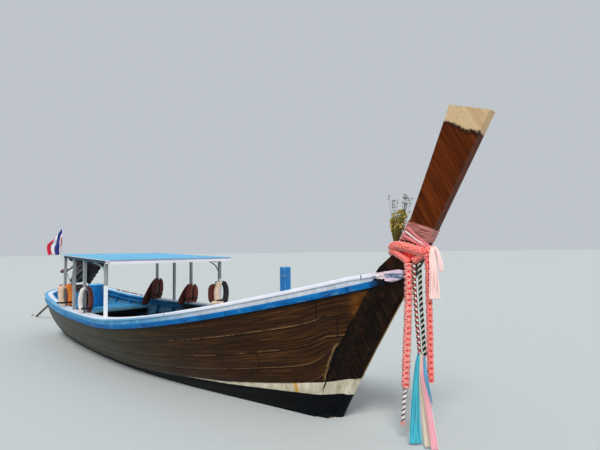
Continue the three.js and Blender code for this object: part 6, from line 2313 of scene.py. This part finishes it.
def engine_covers():
    """Flanges, the filter's can, the starter's case, the alternator's bands and the air cleaner's pleats."""
    flange = [(0.031, 0), (0.031, 0.0075), (0.028, 0.0085)]
    places = [(x, -0.0962, 0.25) for x in CYLINDERS]
    engine_turned("exhaust_flanges", "rust", "rust", (0, -1, 0), places, flange)
    places = [(x, 0.0962, 0.25) for x in CYLINDERS]
    engine_turned("intake_flanges", "engine", "iron", OUT, places, flange)
    can = [(0.034, 0), (0.0375, 0.003), (0.0378, 0.008), (0.0368, 0.011), (0.0372, 0.06), (0.0345, 0.0695)]
    can.append((0.026, 0.0735))
    filter_foot = [(0.19, 0.101, 0.095)]
    engine_turned("oil_filter_can", "filter_paint", "orange_cloth", OUT, filter_foot, can, 32)
    nut = [(0.012, 0.07), (0.012, 0.08), (0.010, 0.082)]
    engine_turned("oil_filter_nut", "bolt", "steel", OUT, filter_foot, nut, 12, True, smooth_faces=False)
    case = [(0.020, -0.010), (0.030, -0.006), (0.0342, 0), (0.0342, 0.03), (0.0332, 0.032), (0.0332, 0.036)]
    case += [(0.0342, 0.038), (0.0342, 0.135), (0.0332, 0.137), (0.0332, 0.141), (0.0342, 0.143)]
    case += [(0.0342, 0.166), (0.024, 0.174)]
    engine_turned("starter_case", "iron", "iron", FORWARD, [(-0.06, -0.114, 0.12)], case, 28)
    coil = [(0.012, -0.012), (0.014, -0.008), (0.0182, -0.006), (0.0182, 0.02), (0.0174, 0.022)]
    coil += [(0.0182, 0.024), (0.0182, 0.1)]
    engine_turned("starter_coil", "steel", "steel", FORWARD, [(-0.03, -0.127, 0.165)], coil, 20)
    ends = [(0.0466, -0.001), (0.0474, 0.002), (0.0474, 0.028), (0.0466, 0.03)]
    places = [(x, 0.15, 0.178) for x in (0.472, 0.57)]
    engine_turned("alternator_ends", "steel", "steel", FORWARD, places, ends, 48, False, 0.0012)
    core = [(0.0466, 0.0), (0.0484, 0.001), (0.0484, 0.03), (0.0466, 0.031)]
    engine_turned("alternator_core", "iron", "iron", FORWARD, [(0.519, 0.15, 0.178)], core, 40)
    pleats = [(0.0955, 0), (0.1, 0.001), (0.1, 0.036), (0.0955, 0.037)]
    places = [(0.28, 0.165, 0.35)]
    engine_turned("air_pleats", "pleats", "straw", UP, places, pleats, 120, False, 0.0035, smooth_faces=False)
    rims = [(0.0965, 0), (0.1015, 0.001), (0.1022, 0.005), (0.0985, 0.0095), (0.092, 0.0102)]
    lower = [(0.092, 0), (0.0985, 0.001), (0.1022, 0.005), (0.1015, 0.009), (0.0965, 0.0098)]
    up = engine_way(*UP)
    forms = [(on_engine(0.28, 0.165, 0.388), up, rims, 40), (on_engine(0.28, 0.165, 0.3402), up, lower, 40)]
    turned_piece("air_cleaner_rims", "engine", forms, "engine", "iron")
    cap = [(0.0262, 0), (0.0272, 0.002), (0.0272, 0.014), (0.024, 0.018), (0.015, 0.02)]
    places = [(0.535, 0, 0.352)]
    engine_turned("oil_cap", "rubber", "dark_cloth", UP, places, cap, 24, False, 0.002, smooth_faces=False)
    knob = [(0.014, -0.002), (0.014, 0.008), (0.009, 0.01), (0.009, 0.02), (0.006, 0.022)]
    places = [(x, 0, 0.345) for x in (0.11, 0.39)]
    engine_turned("cover_nuts", "bolt", "steel", UP, places, knob, 12, True, smooth_faces=False)
    stem = [(0.009, 0.0), (0.009, 0.012), (0.006, 0.014), (0.006, 0.02)]
    places = [(0.345 + 0.03 * k, -0.122, 0.149) for k in range(4)]
    engine_turned("pump_unions", "bolt", "steel", UP, places, stem, 12, True, smooth_faces=False)


def engine_pipes():
    routes = []
    for k, x in enumerate(CYLINDERS):
        head, low = x + 0.04, 0.345 + 0.03 * k
        route = [(head, -0.119, 0.275), (head, -0.128, 0.268), (head, -0.128, 0.235)]
        route += [(lerp(head, low, 0.4), -0.128, 0.212), (lerp(head, low, 0.85), -0.127, 0.196)]
        routes.append(route + [(low, -0.123, 0.182), (low, -0.122, 0.165)])
    pipe("injector_pipes", routes, 0.003, "copper", "bronze")
    rail = [(0.1, -0.097, 0.286), (0.3, -0.102, 0.29), (0.54, -0.097, 0.286), (0.57, -0.1, 0.24)]
    pipe("return_pipe", [rail + [(0.57, -0.12, 0.16)]], 0.0035, "bolt", "steel")
    dip = [(0.42, 0.099, 0.1), (0.42, 0.116, 0.13), (0.42, 0.12, 0.22), (0.42, 0.118, 0.305)]
    angles = np.linspace(0, 1.9 * math.pi, 12)
    ring = [(0.42 + 0.012 * math.sin(a), 0.118, 0.315 - 0.012 * math.cos(a)) for a in angles]
    pipe("dipstick", [dip, ring], 0.0028, "bolt", "steel")
    water = [(0.588, -0.05, 0.265), (0.604, -0.05, 0.262), (0.625, -0.062, 0.25), (0.632, -0.085, 0.2)]
    water += [(0.628, -0.096, 0.12), (0.604, -0.072, 0.03), (0.596, -0.06, 0.02)]
    pipe("water_pipe", [water], 0.012, "engine", "iron", 14)
    stays = []
    for side in (1, -1):
        stays.append([
            (-0.285, side * 0.115, 0.026), (-0.5, side * 0.066, 0.03), (-0.82, side * 0.024, 0.026)
        ])
    pipe("tail_stays", stays, 0.007, "rust", "rust")
    rod = [(1.42, 0.004, 0.047), (1.25, 0.004, 0.0625), (0.9, 0.004, 0.0715), (0.78, -0.03, 0.06)]
    rod += [(0.72, -0.12, 0.06), (0.66, -0.15, 0.09), (0.5, -0.15, 0.158), (0.45, -0.14, 0.162)]
    pipe("throttle_rod", [rod], 0.0032, "bolt", "steel")
    lever = [(1.42, 0.0, 0.03), (1.425, 0.0, 0.06), (1.47, 0.0, 0.085), (1.56, 0.0, 0.08)]
    pipe("throttle_lever", [lever], 0.005, "bolt", "steel")


def engine_bands():
    """Bands round the muffler, the tail tube and the tiller, the grip, and the muffler's bracket."""
    start, end = on_engine(-0.31, -0.18, 0.304), on_engine(-0.64, -0.184, 0.38)
    along = end - start
    seam = [(0.0478, 0.0), (0.0515, 0.002), (0.0515, 0.012), (0.0478, 0.014)]
    forms = [(start + along * share, along, seam, 28) for share in (0.02, 0.5, 0.93)]
    turned_piece("muffler_bands", "engine", forms, "rust", "rust")
    ring = [(0.0295, 0), (0.0345, 0.001), (0.0345, 0.024), (0.0295, 0.025)]
    places = [(x, 0, 0) for x in (-0.34, -0.84, -2.2, -3.6)]
    engine_turned("tail_bands", "iron", "iron", FORWARD, places, ring, 24)
    sleeve = [(0.0235, 0), (0.0275, 0.002), (0.0275, 0.13), (0.0292, 0.134), (0.0292, 0.152), (0.0262, 0.157)]
    sleeve.append((0.014, 0.159))
    forms = [(on_engine(1.545, 0, 0.0044), engine_way(0.16, 0, -0.019), sleeve, 36, False, 0.0014)]
    turned_piece("tiller_grip", "engine", forms, "grip", "dark_cloth", False)
    clip = [(0.0185, 0), (0.0212, 0.001), (0.0212, 0.016), (0.0185, 0.017)]
    spots = ((0.95, 0.0492, 0.0), (1.25, 0.04, -0.08))
    forms = [(on_engine(x, 0, z), engine_way(1, 0, slope), clip, 20) for x, z, slope in spots]
    turned_piece("tiller_clips", "engine", forms, "bolt", "steel")
    foot, head = on_engine(-0.27, -0.1405, 0.0), on_engine(-0.36, -0.17, 0.272)
    corners = ((-0.015, 0), (0.015, 0), (0.015, -0.005), (-0.015, -0.005))
    rings = []
    for share in np.linspace(0, 1, 6):
        rings.append([foot.lerp(head, share) + Vector((dx, dy, 0)) for dx, dy in corners])
    points, faces = tube(rings)
    add_mesh("muffler_bracket", points, faces, "engine", LOOKS["iron"], False, slot="iron")


def yoke_and_pedestal():
    up = Vector((0, 0, 1))
    spots = [
        (Vector((TRUNNION_X + dx, y, 1.1684)), up, 0.009) for dx in (-0.04, 0.04) for y in (-0.125, 0.125)
    ]
    for side in (1, -1):
        spots += [
            (Vector((TRUNNION_X + dx, side * 0.162, z)), Vector((0, side, 0)), 0.008)
            for dx, z in ((-0.042, 1.2), (0.042, 1.2))
        ]
    bolts("yoke_bolts", "yoke", spots)
    rings = []
    for z in (1.05, 1.0515, 1.0885, 1.09):
        out = 0.0022 if 1.0505 < z < 1.0895 else 0.0004
        corners = ((1, 1), (-1, 1), (-1, -1), (1, -1))
        rings.append([(TRUNNION_X + cx * (0.095 + out), cy * (0.12 + out), z) for cx, cy in corners])
    points, faces = tube(rings)
    add_mesh("pedestal_band", points, faces, "hull", LOOKS["iron"], False, slot="iron")
    spots = [
        (Vector((TRUNNION_X + side * 0.0972, y, 1.07)), Vector((side, 0, 0)), 0.009)
        for side in (1, -1)
        for y in (-0.08, 0.08)
    ]
    spots += [
        (Vector((TRUNNION_X + dx, side * 0.1222, 1.07)), Vector((0, side, 0)), 0.009)
        for side in (1, -1)
        for dx in (-0.05, 0.05)
    ]
    bolts("pedestal_bolts", "hull", spots)


engine_bolts()
engine_covers()
engine_pipes()
engine_bands()
yoke_and_pedestal()


def roof_fittings():
    """A brown batten under the port beam's front end, a dark pouch aft of it, and the staff's finial."""
    rings = []
    for x in np.linspace(-0.86, -0.07, 8):
        y = post_y(x) - 0.03
        top = roof_top(x) - 0.0258 - 0.0504
        drop = 0.012 + 0.024 * smooth(-0.86, -0.3, x)
        rings.append([
            (x, y - 0.02, top), (x, y + 0.02, top), (x, y + 0.018, top - drop), (x, y - 0.018, top - drop)
        ])
    points, faces = tube(rings)
    add_mesh("port_batten", points, faces, "hull", LOOKS["pedestal"], False, slot="hull_wood")
    top = roof_top(-2.33) - 0.0765

    def place(across, up, out):
        return -2.335 + across, post_y(-2.335) + out, up

    outline = [
        (-0.03, top), (0.045, top), (0.05, top - 0.07), (0.02, top - 0.15), (-0.005, top - 0.16),
        (-0.03, top - 0.09)
    ]
    pillow("hanging_pouch", outline, place, 0.045, LOOKS["jacket_black"], 5.0, (), "dark_cloth")
    ball = [(0.006, -0.012), (0.0125, -0.008), (0.0145, 0.002), (0.0125, 0.01), (0.006, 0.0145)]
    turned_piece(
        "staff_finial", "hull", [((STAFF_X, STAFF_Y, 2.556), (0, 0, 1), ball, 20)], "finial", "white_paint"
    )


# Mooring bitt, a square post on the foredeck
BITT = {"x": 3.23, "half": 0.052, "top": 1.765, "tie": 1.628}


def bitt_look():
    """Blue paint, rubbed pale along the upright corners, and paler round the head as a painted highlight."""
    look = Look("bitt_blue_paint", 0.5)
    x, y, z = look.parts(look.place)
    out_x = abs(x - BITT["x"])
    out_y = abs(y)
    near, edge = BITT["half"] - 0.009, BITT["half"] - 0.002
    corner = look.both(look.rise(out_x, near, edge), look.rise(out_y, near, edge))
    # The paler head is a painted highlight on the bitt's top
    head = look.rise(z, BITT["top"] - 0.03, BITT["top"] - 0.006)
    rubbed = look.noise(24.0, 6, 0.7)
    # Rubbed corners, and the painted highlight round the head
    worn = look.both(look.sum("MAXIMUM", corner, head), look.rise(rubbed, 0.4, 0.6))
    streaks = look.noise(40.0, 5, 0.65, stretch=(1.0, 1.0, 0.12))
    base = look.shade(srgb(4, 112, 178), look.noise(8.0, 5), 0.72, 1.15)
    base = look.mix(look.rise(streaks, 0.52, 0.8) * 0.6, base, srgb(10, 60, 104))
    base = look.mix(worn * 0.85, base, srgb(104, 178, 232))
    return look.finish(base, look.bump(streaks, 0.001, 0.5))


def bitt_tie(turns=2, cord=0.0034, pitch=0.014, turn_radius=0.006):
    """Two turns of thin cord round the bitt."""
    corner = BITT["half"] + 0.0028 - turn_radius
    angles = [math.radians(a) for k in range(4) for a in (90 * k + 5, 90 * k + 32, 90 * k + 58, 90 * k + 85)]
    route = []
    for turn in range(turns):
        for k, a in enumerate(angles):
            side_x = 1 if math.cos(a) > 0 else -1
            side_y = 1 if math.sin(a) > 0 else -1
            px = BITT["x"] + side_x * corner + turn_radius * math.cos(a)
            py = side_y * corner + turn_radius * math.sin(a)
            route.append((px, py, BITT["tie"] + pitch * (turn + k / len(angles))))
    points, faces, _ = rope_mesh(np.array(route), lambda s, a: cord, 10)
    add_mesh("bitt_tie", points, faces, "hull", LOOKS["bitt_cord"], slot="cord_white")


def pole():
    """A boat pole that lies along the port cap aft, with rag whippings."""
    route = []
    for x in (-4.25, -3.9, -3.5, -3.1):
        px, py = in_from_edge(x, 0.085)
        route.append((px, py, cap_top(px) + 0.0135))
    start, end = Vector(route[0]), Vector(route[-1])
    low = max(route[1][2] - start.lerp(end, 0.3).z, route[2][2] - start.lerp(end, 0.65).z, 0)
    lift = Vector((0, 0, low))
    line = np.array([start.lerp(end, s) + lift for s in np.linspace(0, 1, 40)])
    points, faces, _ = rope_mesh(
        line, lambda s, a: 0.0125 + 0.002 * math.exp(-(((s % 0.31) / 0.012) ** 2)) - 0.002 * s, 12
    )
    add_mesh("boat_pole", points, faces, "hull", LOOKS["pedestal"], slot="deck_wood")
    way = end - start
    wrap = [(0.013, 0), (0.0165, 0.004), (0.0175, 0.03), (0.0165, 0.055), (0.013, 0.06)]
    forms = [(start + lift + way * share, way, wrap, 20, False, 0.0015) for share in (0.16, 0.52, 0.86)]
    turned_piece("pole_whippings", "hull", forms, "whipping", "cord_white", False)


LOOKS["finial"] = painted("finial_paint", srgb(244, 214, 216), scale=30.0)
LOOKS["whipping"] = woven("rag_whipping", srgb(226, 222, 218), 1.1, 0.7, 500.0, 0.1, 0.9, srgb(120, 110, 100))
LOOKS["bitt"] = bitt_look()
LOOKS["bitt_cord"] = woven("bitt_cord", srgb(112, 168, 206), 1.1, 0.7, 900.0, 0.1, 0.9, srgb(60, 96, 130))
roof_fittings()
bitt_tie()
pole()

# Materials of the CAD pieces that stay

CARRIED = {
    "keel": "bottom",
    "stem_post": "stem",
    "transom": "pale_blue",
    "stern_post": "frames",
    "stern_platform": "pale_blue",
    "frames": "frames",
    "floor_boards": "deck",
    "aft_deck": "aft_deck",
    "aft_deck_beam": "aft_deck",
    "foredeck": "white",
    "foredeck_bulkhead": "pale_blue",
    "mooring_bitt": "bitt",
    "side_bench_port": "deck",
    "side_bench_starboard": "deck",
    "canopy_side_port": "post",
    "canopy_side_starboard": "post",
    "roof_beams": "white",
    "roof_panel": "roof",
    "roof_fascia": "fascia",
    "flag_staff": "white",
    "fuel_drum": "drum",
    "engine_pedestal": "pedestal",
    "engine_yoke": "iron",
    "engine_cradle": "iron",
    "engine_block": "engine",
    "cylinder_head": "engine",
    "air_intake": "rubber",
    "exhaust": "rust",
    "belt_drive": "rubber",
    "alternator": "steel",
    "tiller": "rust",
    "tail_tube": "rust",
    "propeller_shaft": "bronze",
}


def dress(node, look):
    """Gives a CAD node's object a material, on its own slots."""
    piece = nodes[node]
    if not piece.material_slots:
        raise RuntimeError(f"{node} has no material slot")
    for slot in piece.material_slots:
        slot.link = "OBJECT"
        slot.material = look


for node, look in CARRIED.items():
    dress(node, LOOKS[look])

# Floor at the waterline, open inside the hull, and soft light


# Where the stem meets the water, the last of the planks behind it, and how far the floor goes
STEM_AT_WATER, PLANKS_AT_WATER = 4.17, 4.12
FLOOR_RADIUS = 400


def waterline(depth):
    """The outline of the hull at the water's surface, a little inside its skin."""
    port = []
    for x in np.linspace(TRANSOM_X, PLANKS_AT_WATER, 60):
        line = [hull_point(x, t, depth) for t in np.linspace(0, 1, 60)]
        ys = [y for y, _ in line]
        zs = [z for _, z in line]
        if zs[0] < 0 < zs[-1]:
            port.append((x, float(np.interp(0.0, zs, ys))))
    return port + [(STEM_AT_WATER, 0.0)] + [(x, -y) for x, y in reversed(port)]


def make_floor():
    built = bmesh.new()
    inner = [built.verts.new((x, y, 0)) for x, y in waterline(0.018)]
    outer = [built.verts.new((FLOOR_RADIUS * math.cos(a), FLOOR_RADIUS * math.sin(a), 0)) for a in around(64)]
    edges = []
    for loop in (inner, outer):
        for a, b in zip(loop, loop[1:] + loop[:1]):
            edges.append(built.edges.new((a, b)))
    bmesh.ops.triangle_fill(built, use_beauty=True, use_dissolve=False, edges=edges)
    bmesh.ops.recalc_face_normals(built, faces=built.faces)
    mesh = bpy.data.meshes.new("floor")
    built.to_mesh(mesh)
    built.free()
    look = Look("floor", 0.9, specular=0.1)
    mesh.materials.append(look.finish(srgb(196, 200, 198)))
    floor = bpy.data.objects.new("floor", mesh)
    bpy.context.scene.collection.objects.link(floor)
    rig.stage(floor)


def light_scene():
    world = bpy.data.worlds.new("studio")
    bpy.context.scene.world = world
    world.use_nodes = True
    back = world.node_tree.nodes["Background"]
    back.inputs["Color"].default_value = (0.84, 0.9, 0.96, 1)
    back.inputs["Strength"].default_value = 0.62
    for name, towards, strength, angle in (
        ("key", Vector((-0.45, 0.55, -0.9)), 2.0, 20),
        ("fill", Vector((-0.75, -0.25, -0.5)), 0.3, 50),
    ):
        data = bpy.data.lights.new(name, "SUN")
        data.energy = strength
        data.angle = math.radians(angle)
        lamp = bpy.data.objects.new(name, data)
        bpy.context.scene.collection.objects.link(lamp)
        lamp.rotation_euler = towards.to_track_quat("-Z", "Y").to_euler()
    bpy.context.scene.view_settings.view_transform = "Standard"


make_floor()
light_scene()

low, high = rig.bounds()
with open("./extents.json", "w") as out:
    json.dump({"cad": [list(cad_low), list(cad_high)], "visual": [list(low), list(high)]}, out)
